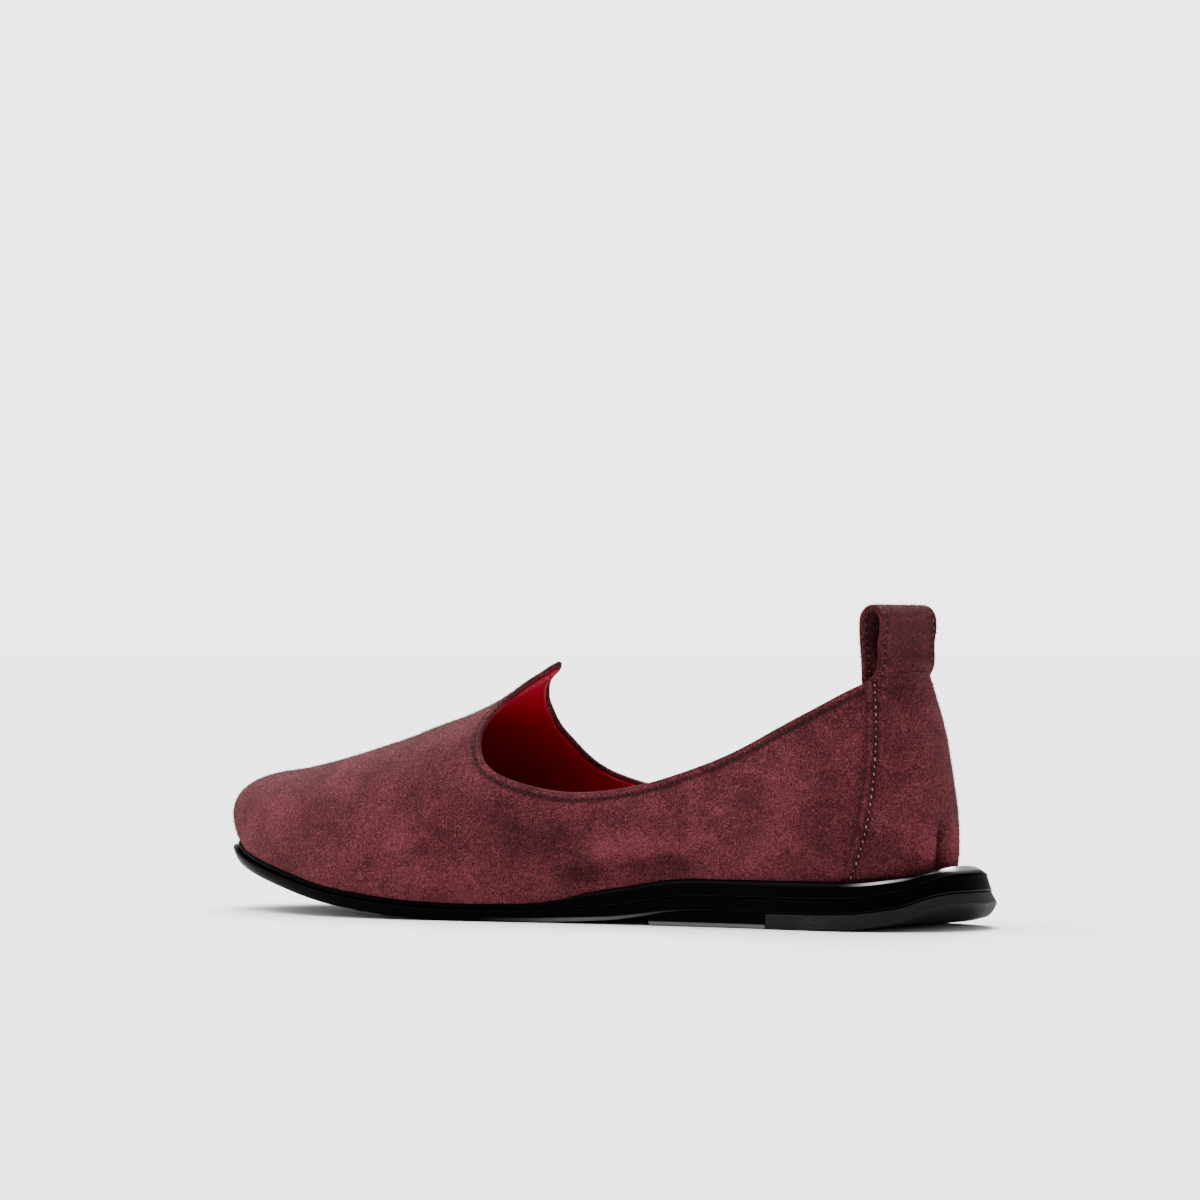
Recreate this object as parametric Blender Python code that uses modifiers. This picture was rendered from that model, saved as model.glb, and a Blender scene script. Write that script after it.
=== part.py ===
"""A suede slipper loafer for the left foot, built piece by piece as its maker assembles it.

Metres, +Z up. The shoe stands on the plane Z = 0 with its toe along -Y and the outer
side of the foot along +X. The origin is under the middle of the outsole. Lengths along
the shoe are given as shares of the last, 0 at the back of the heel and 1 at the toe tip.
"""

import math
from collections import namedtuple

import bmesh
import bpy
import numpy as np
from mathutils import Vector

# Last: the foot-shaped form that the upper is pulled over
LAST_LENGTH = 0.2752
BALL_WIDTH = 0.093
HEEL_WIDTH = 0.061
TONGUE_HEIGHT = 0.0830
TOE_BOX_HEIGHT = 0.0458
BACK_HEIGHT = 0.0790
SPINE_HEEL = 0.125
SPINE_TOE = 0.935
HEEL_ROUNDING = 0.17
HEEL_SQUARENESS = 2.15
TOE_ROUNDING = 0.31
TOE_SQUARENESS = 2.2

# Upper and the leather on it
UPPER_WALL = 0.0022
STAY_THICKNESS = 0.0012
STAY_TOP_WIDTH = 0.038
STAY_BOTTOM_WIDTH = 0.070
STAY_FOOT = 0.0030
LOOP_WIDTH = 0.032
LOOP_HEIGHT = 0.0212
LOOP_DEPTH = 0.0095
LOOP_STRAP = 0.0018
LOOP_TUCK = 0.009

# Sole, from the ground up
LIFT_THICKNESS = 0.0048
OUTSOLE_THICKNESS = 0.0043
RAND_THICKNESS = 0.0013
WEDGE_THICKNESS = 0.0037
INSOLE_THICKNESS = 0.0030
TOE_SPRING = 0.0192
HEEL_CURL = 0.0078
SOLE_EDGE = 0.0024
HEEL_SHELF = 0.0098
HEEL_FLARE = 0.0045
SOLE_BEVEL = 0.0011
LAYER_BEVEL = 0.00025
LIFT_LENGTH = 0.0853
TOP_PIECE_LENGTH = 0.0426

# Fit between pieces
GAP = 0.0003

# Mesh resolution
RIBS = 88
RIB_STEPS = 15
SOLE_RUNGS = 44
STAY_COLUMNS = 16
STAY_ROWS = 12
LOOP_COLUMNS = 10
TUCK_ROWS = 3
CURVE_STEPS = 6
LOOP_CURVE_STEPS = 3
HALVINGS = 40
HEEL_SAMPLES = 481

PlanRow = namedtuple("PlanRow", "along middle heel ball")
PLAN = (
    # middle: shift to the outer side as a share of the ball width
    # heel, ball: shares of the heel width and the ball width in the full width
    PlanRow(0.00, 0.000, 1.00, 0.00),
    PlanRow(0.16, 0.000, 1.00, 0.00),
    PlanRow(0.30, 0.028, 0.80, 0.12),
    PlanRow(0.42, 0.048, 0.50, 0.37),
    PlanRow(0.55, 0.042, 0.16, 0.75),
    PlanRow(0.66, 0.015, 0.00, 0.98),
    PlanRow(0.74, -0.010, 0.00, 1.00),
    PlanRow(0.87, -0.062, 0.00, 0.96),
    PlanRow(1.00, -0.105, 0.00, 0.90),
)

SoleRow = namedtuple("SoleRow", "along seat wedge curl spring sole rand shelf")
SOLE = (
    # seat: share of the heel lift under the outsole, wedge: share of the wedge,
    # curl: share of the upturned back, spring: share of the toe spring,
    # sole: share of the outsole's thickness, rand: how far the midsole's edge
    # comes out to the outsole's, shelf: share of the extra ledge behind the heel
    SoleRow(-0.045, 1.00, 0.60, 1.00, 0.00, 1.00, 1.00, 1.00),
    SoleRow(0.00, 1.00, 0.76, 0.33, 0.00, 1.00, 1.00, 1.00),
    SoleRow(0.06, 1.00, 0.92, 0.03, 0.00, 1.00, 1.00, 0.60),
    SoleRow(0.13, 1.00, 1.00, 0.00, 0.00, 1.00, 1.00, 0.15),
    SoleRow(0.20, 1.00, 1.00, 0.00, 0.00, 1.00, 1.00, 0.00),
    SoleRow(0.25, 0.99, 1.01, 0.00, 0.00, 1.00, 1.00, 0.00),
    SoleRow(0.285, 0.86, 1.05, 0.00, 0.00, 1.00, 1.00, 0.00),
    SoleRow(0.32, 0.56, 1.12, 0.00, 0.00, 0.98, 1.00, 0.00),
    SoleRow(0.36, 0.28, 1.06, 0.00, 0.00, 0.95, 1.00, 0.00),
    SoleRow(0.39, 0.18, 0.84, 0.00, 0.00, 0.93, 0.95, 0.00),
    SoleRow(0.43, 0.08, 0.30, 0.00, 0.00, 0.90, 0.75, 0.00),
    SoleRow(0.47, 0.00, 0.08, 0.00, 0.00, 0.88, 0.52, 0.00),
    SoleRow(0.55, 0.00, 0.00, 0.00, 0.00, 0.85, 0.32, 0.00),
    SoleRow(0.61, 0.00, 0.00, 0.00, 0.03, 0.83, 0.30, 0.00),
    SoleRow(0.72, 0.00, 0.00, 0.00, 0.19, 0.78, 0.30, 0.00),
    SoleRow(0.84, 0.00, 0.00, 0.00, 0.50, 0.73, 0.30, 0.00),
    SoleRow(0.93, 0.00, 0.00, 0.00, 0.765, 0.66, 0.30, 0.00),
    SoleRow(1.00, 0.00, 0.00, 0.00, 1.00, 0.42, 0.30, 0.00),
)

RidgeRow = namedtuple("RidgeRow", "along tongue toe side")
RIDGE = (
    # tongue, toe: shares of the tongue height and the toe box height in the crown's
    # height, side: the crown's shift to the outer side as a share of the ball width
    RidgeRow(0.10, 1.36, 0.00, 0.00),
    RidgeRow(0.25, 1.33, 0.00, 0.01),
    RidgeRow(0.40, 1.17, 0.00, 0.01),
    RidgeRow(0.512, 0.995, 0.00, 0.00),
    RidgeRow(0.58, 0.855, 0.03, -0.01),
    RidgeRow(0.68, 0.55, 0.355, -0.02),
    RidgeRow(0.78, 0.22, 0.765, -0.02),
    RidgeRow(0.86, 0.05, 0.960, -0.015),
    RidgeRow(0.935, 0.00, 1.000, -0.01),
)

RibRow = namedtuple("RibRow", "along rise reach flare")
RIB = (
    # rise, reach: how far a rib climbs straight up and runs straight in, as shares of
    # its height and depth, flare: how far it swells out, as a share of the ball width
    RibRow(0.00, 0.34, 0.60, 0.052),
    RibRow(0.15, 0.42, 0.56, 0.056),
    RibRow(0.35, 0.50, 0.50, 0.060),
    RibRow(0.52, 0.48, 0.52, 0.060),
    RibRow(0.66, 0.50, 0.58, 0.065),
    RibRow(0.85, 0.62, 0.66, 0.075),
    RibRow(1.00, 0.72, 0.72, 0.090),
)

ToplineRow = namedtuple("ToplineRow", "along back tongue")
TOPLINE = (
    # back, tongue: shares of the back height and the tongue height in the edge's height
    ToplineRow(-0.12, 1.00, 0.00),
    ToplineRow(0.00, 1.00, 0.00),
    ToplineRow(0.05, 0.985, 0.00),
    ToplineRow(0.12, 0.850, 0.00),
    ToplineRow(0.22, 0.674, 0.00),
    ToplineRow(0.33, 0.555, 0.00),
    ToplineRow(0.43, 0.30, 0.215),
    ToplineRow(0.525, 0.00, 0.575),
    ToplineRow(0.564, 0.00, 0.71),
    ToplineRow(0.563, 0.00, 0.83),
    ToplineRow(0.543, 0.00, 0.920),
    ToplineRow(0.521, 0.00, 0.970),
    ToplineRow(0.509, 0.00, 1.010),
    ToplineRow(0.506, 0.00, 1.100),
)

LoopRow = namedtuple("LoopRow", "up lean bend outside")
LOOP = (
    # The strap's hole side, from inside the collar over the top to its outer foot.
    # up: share of the loop's height above the collar, lean: share of its depth in front
    # of the collar's back, bend: how far it follows the collar's curve,
    # outside: 0 for the leg inside the collar, 1 for the leg outside it
    LoopRow(0.00, 1.00, 1.00, 0.0),
    LoopRow(0.18, 0.98, 0.55, 0.0),
    LoopRow(0.42, 1.00, 0.12, 0.0),
    LoopRow(0.66, 1.02, 0.01, 0.0),
    LoopRow(0.83, 0.97, 0.00, 0.2),
    LoopRow(0.915, 0.72, 0.00, 0.5),
    LoopRow(0.84, 0.47, 0.00, 0.8),
    LoopRow(0.66, 0.40, 0.00, 1.0),
    LoopRow(0.42, 0.41, 0.10, 1.0),
    LoopRow(0.21, 0.42, 0.52, 1.0),
    LoopRow(0.10, 0.30, 0.88, 1.0),
    LoopRow(0.030, 0.20, 1.00, 1.0),
)


def slopes(xs, ys):
    """Slopes of a curve through the points that never overshoots them."""
    steps = np.diff(xs)
    rates = np.diff(ys) / steps
    inner = np.zeros(len(xs))
    for k in range(1, len(xs) - 1):
        before, after = rates[k - 1], rates[k]
        if before * after > 0:
            a = 2 * steps[k] + steps[k - 1]
            b = steps[k] + 2 * steps[k - 1]
            inner[k] = (a + b) / (a / before + b / after)
    return inner


def read(table, column, along):
    """The value of a table's column at a place along the shoe, on a smooth curve."""
    xs = np.array([row[0] for row in table])
    ys = np.array([getattr(row, column) for row in table])
    along = min(max(along, xs[0]), xs[-1])
    k = min(int(np.searchsorted(xs, along, side="right")) - 1, len(xs) - 2)
    step = xs[k + 1] - xs[k]
    s = (along - xs[k]) / step
    m = slopes(xs, ys) * step
    return float(
        ys[k] * (1 + 2 * s) * (1 - s) ** 2
        + m[k] * s * (1 - s) ** 2
        + ys[k + 1] * s * s * (3 - 2 * s)
        + m[k + 1] * s * s * (s - 1)
    )


def spline(points, steps):
    """A smooth curve through the points, as a list of points."""
    points = [np.array(p, float) for p in points]
    padded = [2 * points[0] - points[1], *points, 2 * points[-1] - points[-2]]
    line = []
    for k in range(1, len(padded) - 2):
        a, b, c, d = padded[k - 1 : k + 3]
        for j in range(steps):
            s = j / steps
            line.append(
                0.5
                * (
                    2 * b
                    + (c - a) * s
                    + (2 * a - 5 * b + 4 * c - d) * s * s
                    + (3 * b - a - 3 * c + d) * s**3
                )
            )
    line.append(padded[-2])
    return line


def along_at(turn):
    """The share of the last at a turn round its outline."""
    return 0.5 * (1 - math.cos(turn))


def rounding(distance, length, squareness):
    """Share of the full width at a distance from an end that is rounded over a length."""
    if distance >= length:
        return 1.0
    return (1 - (1 - distance / length) ** squareness) ** (1 / squareness)


def plan_point(turn, shift_x=0.0):
    """A point of the feather edge, where the upper meets the sole.

    turn is 0 at the back of the heel and pi at the toe, and negative on the inner side.
    """
    turn = (turn + math.pi) % (2 * math.pi) - math.pi
    along = along_at(turn)
    width = HEEL_WIDTH * read(PLAN, "heel", along) + BALL_WIDTH * read(PLAN, "ball", along)
    width *= rounding(along, HEEL_ROUNDING, HEEL_SQUARENESS)
    width *= rounding(1 - along, TOE_ROUNDING, TOE_SQUARENESS)
    middle = BALL_WIDTH * read(PLAN, "middle", along)
    side = 0.5 * width if turn > 0 else -0.5 * width
    return np.array([middle + side - shift_x, HEEL_BACK_Y - along * LAST_LENGTH])


def outline(turn, offset):
    """A point at an offset outside the feather edge, square to it."""
    small = 0.01
    tangent = plan_point(turn + small, MIDDLE_X) - plan_point(turn - small, MIDDLE_X)
    normal = np.array([-tangent[1], tangent[0]]) / np.linalg.norm(tangent)
    return plan_point(turn, MIDDLE_X) + normal * offset


def along_of(y):
    """The share of the last at a distance Y."""
    return (HEEL_BACK_Y - y) / LAST_LENGTH


def shelf_edge(turn):
    """How far the top of the sole stands out beyond the feather edge."""
    along = along_at(turn)
    return SOLE_EDGE + (HEEL_SHELF - SOLE_EDGE) * read(SOLE, "shelf", along)


def flare(turn):
    """How much further the sole stands out at the ground than at its top."""
    return HEEL_FLARE * read(SOLE, "shelf", along_at(turn))


def ground_level(y):
    """Underside of the heel lift: flat, then turned up at the back."""
    return HEEL_CURL * read(SOLE, "curl", along_of(y))


def outsole_bottom(y):
    along = along_of(y)
    seat = (LIFT_THICKNESS + GAP) * read(SOLE, "seat", along)
    return ground_level(y) + seat + TOE_SPRING * read(SOLE, "spring", along)


def outsole_top(y):
    return outsole_bottom(y) + OUTSOLE_THICKNESS * read(SOLE, "sole", along_of(y))


def midsole_bottom(y):
    return outsole_top(y) + GAP


def midsole_top(y):
    wedge = WEDGE_THICKNESS * read(SOLE, "wedge", along_of(y))
    return midsole_bottom(y) + RAND_THICKNESS + wedge


def feather_level(y):
    """Where the upper's lower edge and the insole stand on the midsole."""
    return midsole_top(y) + GAP


TOTAL_LENGTH = LAST_LENGTH + SOLE_EDGE + HEEL_SHELF + HEEL_FLARE
HEEL_BACK_Y = 0.5 * TOTAL_LENGTH - HEEL_SHELF - HEEL_FLARE
PLAN_XS = [plan_point(turn)[0] for turn in np.linspace(-math.pi, math.pi, 721)]
MIDDLE_X = 0.5 * (max(PLAN_XS) + min(PLAN_XS))


def last_point(turn, climb):
    """A point on the last: up a rib from the feather edge (0) to the crown (1)."""
    along = along_at(turn)
    foot_xy = plan_point(turn, MIDDLE_X)
    foot = np.array([foot_xy[0], foot_xy[1], feather_level(foot_xy[1])])
    crown_along = SPINE_HEEL + (SPINE_TOE - SPINE_HEEL) * along
    crown = np.array(
        [
            BALL_WIDTH * (read(PLAN, "middle", crown_along) + read(RIDGE, "side", crown_along))
            - MIDDLE_X,
            HEEL_BACK_Y - crown_along * LAST_LENGTH,
            TONGUE_HEIGHT * read(RIDGE, "tongue", crown_along)
            + TOE_BOX_HEIGHT * read(RIDGE, "toe", crown_along),
        ]
    )
    inward = crown - foot
    height, inward[2] = inward[2], 0.0
    depth = np.linalg.norm(inward)
    up = np.array([0.0, 0.0, height * read(RIB, "rise", along)])
    out = inward / depth * BALL_WIDTH * read(RIB, "flare", along)
    low = foot + up - out
    high = crown - inward * read(RIB, "reach", along)
    s = climb
    return (
        foot * (1 - s) ** 3
        + low * 3 * s * (1 - s) ** 2
        + high * 3 * s * s * (1 - s)
        + crown * s**3
    )


def last_normal(turn, climb):
    """The outward normal of the last at a point of a rib."""
    small = 0.002
    around = last_point(turn + small, climb) - last_point(turn - small, climb)
    rising = last_point(turn, climb + small) - last_point(turn, climb - small)
    normal = np.cross(rising, around)
    return normal / np.linalg.norm(normal)


def material(name, colour, roughness):
    made = bpy.data.materials.new(name)
    made.use_nodes = True
    shader = made.node_tree.nodes["Principled BSDF"]
    shader.inputs["Base Color"].default_value = (*colour, 1.0)
    shader.inputs["Roughness"].default_value = roughness
    shader.inputs["Metallic"].default_value = 0.0
    return made


def mesh_object(name, rows, closed, finish, collection):
    """An object from rows of points, joined row to row. closed joins each row's ends."""
    mesh = bmesh.new()
    grid = [[mesh.verts.new(Vector(p)) for p in row] for row in rows]
    for lower, upper in zip(grid, grid[1:]):
        count = len(lower) if closed else len(lower) - 1
        for k in range(count):
            after = (k + 1) % len(lower)
            mesh.faces.new((lower[k], lower[after], upper[after], upper[k]))
    if closed:
        mesh.faces.new(grid[0][::-1])
        mesh.faces.new(grid[-1])
    bmesh.ops.remove_doubles(mesh, verts=mesh.verts, dist=1e-6)
    bmesh.ops.recalc_face_normals(mesh, faces=mesh.faces)
    data = bpy.data.meshes.new(name)
    mesh.to_mesh(data)
    mesh.free()
    made = bpy.data.objects.new(name, data)
    collection.objects.link(made)
    if finish:
        data.materials.append(finish)
        data.shade_smooth()
        data.set_sharp_from_angle(angle=math.radians(40))
    return made


def turn_of(along):
    return math.acos(1 - 2 * min(max(along, 0.0), 1.0))


def slab(name, start, end, top, bottom, edges, bevels, finish, collection):
    """A layer of the sole between two shares of the last.

    Each rung is a cross-section with bevelled edges. top and bottom give the layer's
    heights at a distance Y, edges its offsets beyond the feather edge at a turn, and
    bevels the bevels along its top and bottom edges at a turn.
    """
    first, last = turn_of(start), turn_of(end)
    rungs = []
    for k in range(SOLE_RUNGS + 1):
        turn = first + (last - first) * k / SOLE_RUNGS
        upper_edge, lower_edge = edges(turn)
        upper_bevel, lower_bevel = bevels(turn)
        side = [
            (upper_edge - upper_bevel, top, 0.0),
            (upper_edge, top, -upper_bevel),
            (lower_edge, bottom, lower_bevel),
            (lower_edge - lower_bevel, bottom, 0.0),
        ]
        ring = []
        for sign, profile in ((1, side), (-1, side[::-1])):
            for offset, level, raised in profile:
                x, y = outline(sign * turn, offset)
                ring.append((x, y, level(y) + raised))
        rungs.append(ring)
    return mesh_object(name, rungs, True, finish, collection)


def solidify(made, thickness, outward):
    wall = made.modifiers.new("wall", "SOLIDIFY")
    wall.thickness = thickness
    wall.offset = 1.0 if outward else -1.0
    wall.use_even_offset = True
    wall.use_rim = True


def topline():
    """The shoe's top edge from the heel to the tongue, as Y and Z."""
    rows = [
        (
            HEEL_BACK_Y - row.along * LAST_LENGTH,
            BACK_HEIGHT * row.back + TONGUE_HEIGHT * row.tongue,
        )
        for row in TOPLINE
    ]
    return spline(rows, CURVE_STEPS)


def topline_level(y):
    """Height of the collar's edge near the heel, where it only falls towards the toe."""
    heel = topline()[: 4 * CURVE_STEPS]
    return float(np.interp(-y, [-point[0] for point in heel], [point[1] for point in heel]))


def topline_cutter(collection):
    """The space above the shoe's top edge, as one block across it."""
    edge = topline()
    roof = 2 * max(BACK_HEIGHT, TONGUE_HEIGHT)
    profile = [*edge, (edge[-1][0], roof), (edge[0][0], roof)]
    sides = [[(x, y, z) for y, z in profile] for x in (-BALL_WIDTH, BALL_WIDTH)]
    cutter = mesh_object("topline_cutter", sides, True, None, collection)
    cutter.hide_render = True
    cutter.display_type = "WIRE"
    return cutter


def cut(made, cutter):
    boolean = made.modifiers.new("topline", "BOOLEAN")
    boolean.operation = "DIFFERENCE"
    boolean.object = cutter


def build_upper(finish, cutter, collection):
    """Vamp and quarters as one wall around the last, open at the collar and underneath."""
    turns = [2 * math.pi * k / RIBS for k in range(RIBS + 1)]
    climbs = [k / RIB_STEPS for k in range(RIB_STEPS + 1)]
    rows = [[last_point(turn, climb) for climb in climbs] for turn in turns]
    made = mesh_object("upper", rows, False, finish, collection)
    solidify(made, UPPER_WALL, False)
    cut(made, cutter)


def climb_at(level):
    """How far up the back rib a height is."""
    low, high = 0.0, 1.0
    for _ in range(HALVINGS):
        middle = 0.5 * (low + high)
        if last_point(0.0, middle)[2] < level:
            low = middle
        else:
            high = middle
    return low


def turns_round_heel(half_width, climb, count):
    """Turns from one side to the other round the heel, evenly spaced along its surface."""
    widest = 0.4 * math.pi
    fine = np.linspace(-widest, widest, HEEL_SAMPLES)
    points = np.array([last_point(turn, climb) for turn in fine])
    run = np.concatenate([[0.0], np.cumsum(np.linalg.norm(np.diff(points, axis=0), axis=1))])
    run -= run[len(run) // 2]
    return np.interp(np.linspace(-half_width, half_width, count + 1), run, fine)


def build_stay(finish, cutter, collection):
    """The strip over the back seam, laid on the upper and flaring towards the sole."""
    low = climb_at(feather_level(HEEL_BACK_Y) + STAY_FOOT)
    collar = climb_at(BACK_HEIGHT)
    above = climb_at(BACK_HEIGHT + LOOP_TUCK)
    rows = []
    for k in range(STAY_ROWS + 1):
        climb = low + (above - low) * k / STAY_ROWS
        share = min(1.0, (climb - low) / (collar - low))
        width = STAY_BOTTOM_WIDTH + (STAY_TOP_WIDTH - STAY_BOTTOM_WIDTH) * share
        row = []
        for turn in turns_round_heel(0.5 * width, climb, STAY_COLUMNS):
            row.append(last_point(turn, climb) + last_normal(turn, climb) * GAP)
        rows.append(row)
    made = mesh_object("back_stay", rows, False, finish, collection)
    solidify(made, STAY_THICKNESS, True)
    cut(made, cutter)


def build_loop(finish, collection):
    """The pull strap: from inside the collar, over a finger's room, down to the stay."""
    collar = climb_at(BACK_HEIGHT)
    turns = turns_round_heel(0.5 * LOOP_WIDTH, collar, LOOP_COLUMNS)
    inside = -UPPER_WALL - 2 * GAP

    def beside_wall(climb, distance):
        return [last_point(turn, climb) + last_normal(turn, climb) * distance for turn in turns]

    rows = []
    for k in range(TUCK_ROWS):
        depth = LOOP_TUCK * (1 - k / TUCK_ROWS)
        rows.append(beside_wall(climb_at(BACK_HEIGHT - depth), inside))
    inner = beside_wall(collar, inside)
    outer = beside_wall(collar, GAP)
    levels = [topline_level(edge[1] + STAY_THICKNESS) for edge in outer]
    back = last_point(0.0, collar)
    for up, lean, bend, outside in spline(LOOP, LOOP_CURVE_STEPS):
        row = []
        for k in range(LOOP_COLUMNS + 1):
            across = (k / LOOP_COLUMNS - 0.5) * LOOP_WIDTH
            curved = inner[k] * (1 - outside) + outer[k] * outside
            straight = back + np.array([across, -lean * LOOP_DEPTH, 0.0])
            point = curved * bend + straight * (1 - bend)
            point[2] = levels[k] * bend + BACK_HEIGHT * (1 - bend) + up * LOOP_HEIGHT
            row.append(point)
        rows.append(row)
    made = mesh_object("pull_loop", rows, False, finish, collection)
    solidify(made, LOOP_STRAP, True)


def layer_edges(upper_depth, lower_depth):
    """Edges of a sole layer that lies between two depths under the top of the sole."""
    stack = RAND_THICKNESS + WEDGE_THICKNESS + OUTSOLE_THICKNESS + LIFT_THICKNESS + 2 * GAP

    def edges(turn):
        return (
            shelf_edge(turn) + flare(turn) * upper_depth / stack,
            shelf_edge(turn) + flare(turn) * lower_depth / stack,
        )

    return edges


def build_midsole(finish, collection):
    """The rand round the forefoot, thickening into the wedge under waist and heel."""
    depth = RAND_THICKNESS + WEDGE_THICKNESS
    plain = layer_edges(0.0, depth)

    def edges(turn):
        rand = read(SOLE, "rand", along_at(turn))
        return tuple(edge * rand for edge in plain(turn))

    def bevels(turn):
        wedge = read(SOLE, "wedge", along_at(turn))
        return (LAYER_BEVEL + (SOLE_BEVEL - LAYER_BEVEL) * min(wedge, 1.0), LAYER_BEVEL)

    slab("midsole_wedge", 0, 1, midsole_top, midsole_bottom, edges, bevels, finish, collection)
    return depth + GAP


def build_outsole(depth, finish, collection):
    """The leather sole, in one piece from toe to heel; its edge is bevelled where it shows."""

    def bevels(turn):
        seat = read(SOLE, "seat", along_at(turn))
        return (LAYER_BEVEL, SOLE_BEVEL + (LAYER_BEVEL - SOLE_BEVEL) * seat)

    edges = layer_edges(depth, depth + OUTSOLE_THICKNESS)
    slab("outsole", 0, 1, outsole_top, outsole_bottom, edges, bevels, finish, collection)
    return depth + OUTSOLE_THICKNESS + GAP


def build_insole(finish, collection):
    """The sock and its board, inside the upper's lower edge."""
    inset = -UPPER_WALL - 2 * GAP
    slab(
        "insole", 0, 1,
        lambda y: feather_level(y) + INSOLE_THICKNESS,
        feather_level,
        lambda turn: (inset, inset),
        lambda turn: (LAYER_BEVEL, LAYER_BEVEL),
        finish, collection,
    )


def build_heel(depth, rubber, leather, collection):
    """The lift: rubber top piece at the back, leather in front of it."""
    edges = layer_edges(depth, depth + LIFT_THICKNESS)
    joint = TOP_PIECE_LENGTH / LAST_LENGTH
    front = LIFT_LENGTH / LAST_LENGTH
    for name, start, end, finish in (
        ("top_piece", 0, joint, rubber),
        ("heel_lift", joint + GAP / LAST_LENGTH, front, leather),
    ):
        slab(
            name, start, end,
            lambda y: outsole_bottom(y) - GAP,
            ground_level,
            edges,
            lambda turn: (LAYER_BEVEL, SOLE_BEVEL),
            finish, collection,
        )


def build(scene_collection):
    shoe = bpy.data.collections.new("slipper_loafer")
    cutters = bpy.data.collections.new("cutters")
    scene_collection.children.link(shoe)
    scene_collection.children.link(cutters)

    suede = material("maroon_suede", (0.165, 0.052, 0.060), 0.95)
    lining = material("red_leather", (0.42, 0.008, 0.016), 0.55)
    leather = material("black_leather", (0.012, 0.012, 0.013), 0.35)
    rubber = material("black_rubber", (0.035, 0.035, 0.036), 0.55)

    cutter = topline_cutter(cutters)
    build_upper(suede, cutter, shoe)
    build_stay(suede, cutter, shoe)
    build_loop(suede, shoe)
    build_insole(lining, shoe)
    depth = build_midsole(leather, shoe)
    depth = build_outsole(depth, leather, shoe)
    build_heel(depth, rubber, leather, shoe)


for old in list(bpy.data.objects):
    bpy.data.objects.remove(old)
build(bpy.context.scene.collection)
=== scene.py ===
"""A left slipper loafer in maroon suede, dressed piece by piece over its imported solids.

Metres, +Z up. The toe points along -Y and the outer side of the foot lies along +X.
"""

import math
from collections import namedtuple

import bmesh
import bpy
import numpy as np
from mathutils import Matrix, Vector, kdtree, noise


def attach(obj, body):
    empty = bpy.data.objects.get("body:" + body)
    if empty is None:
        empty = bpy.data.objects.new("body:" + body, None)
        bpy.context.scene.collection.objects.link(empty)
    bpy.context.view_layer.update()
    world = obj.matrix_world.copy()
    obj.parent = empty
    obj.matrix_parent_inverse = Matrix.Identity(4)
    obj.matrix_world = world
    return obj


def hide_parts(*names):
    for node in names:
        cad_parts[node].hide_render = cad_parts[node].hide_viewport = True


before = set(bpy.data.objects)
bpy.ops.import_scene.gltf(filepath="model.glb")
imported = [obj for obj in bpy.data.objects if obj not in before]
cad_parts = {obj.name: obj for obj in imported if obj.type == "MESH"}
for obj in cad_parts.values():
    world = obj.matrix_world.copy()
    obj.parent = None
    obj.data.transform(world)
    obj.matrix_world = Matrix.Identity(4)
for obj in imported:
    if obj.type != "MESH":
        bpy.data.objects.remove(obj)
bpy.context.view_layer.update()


# The room
# A seamless white paper floor in a white studio, lit by a very large soft light overhead,
# one beyond the inner side and a broad, weak one at the toe's side.
FLOOR_HALF = 40.0
AIR_SEEN = 3.62
AIR_LIGHT = 0.92
SOFT_LIGHTS = (
    # name, the side it comes from, watts to the square metre, width in degrees
    ("overhead", (-0.10, -0.42, 1.0), 5.8, 60.0),
    ("far_side", (-0.90, -0.50, 0.85), 4.2, 24.0),
    ("toe_side", (0.85, -1.0, 0.60), 0.8, 50.0),
)


def put_in(name, content):
    """A new object in the scene from a mesh, a lamp or a camera."""
    made = bpy.data.objects.new(name, content)
    bpy.context.scene.collection.objects.link(made)
    return made


floor_mesh = bpy.data.meshes.new("paper_floor")
corners = [(sx * FLOOR_HALF, sy * FLOOR_HALF, 0.0) for sx, sy in ((-1, -1), (1, -1), (1, 1), (-1, 1))]
floor_mesh.from_pydata(corners, [], [(0, 1, 2, 3)])
paper = bpy.data.materials.new("white_paper")
paper.use_nodes = True
paper_shader = paper.node_tree.nodes["Principled BSDF"]
paper_shader.inputs["Base Color"].default_value = (0.95, 0.95, 0.955, 1.0)
paper_shader.inputs["Roughness"].default_value = 0.9
paper_shader.inputs["Specular IOR Level"].default_value = 0.1
floor_mesh.materials.append(paper)
paper_floor = put_in("paper_floor", floor_mesh)

world = bpy.data.worlds.new("studio_air")
world.use_nodes = True
air = world.node_tree
seen = air.nodes["Background"]
seen.inputs["Color"].default_value = (1.0, 1.0, 1.0, 1.0)
seen.inputs["Strength"].default_value = AIR_SEEN
lighting = air.nodes.new("ShaderNodeBackground")
lighting.inputs["Color"].default_value = (1.0, 0.99, 0.985, 1.0)
lighting.inputs["Strength"].default_value = AIR_LIGHT
rays = air.nodes.new("ShaderNodeLightPath")
either = air.nodes.new("ShaderNodeMixShader")
air.links.new(rays.outputs["Is Camera Ray"], either.inputs[0])
air.links.new(lighting.outputs[0], either.inputs[1])
air.links.new(seen.outputs[0], either.inputs[2])
air.links.new(either.outputs[0], air.nodes["World Output"].inputs["Surface"])
bpy.context.scene.world = world


def aim(thing, place, target):
    """Puts a lamp or camera at a place and turns it to face a point, level."""
    view = Vector(target) - Vector(place)
    thing.matrix_world = Matrix.Translation(place) @ view.to_track_quat("-Z", "Y").to_matrix().to_4x4()


for name, side, watts, width in SOFT_LIGHTS:
    lamp = bpy.data.lights.new(name, "SUN")
    lamp.energy = watts
    lamp.angle = math.radians(width)
    aim(put_in(name, lamp), side, (0.0, 0.0, 0.0))

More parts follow.
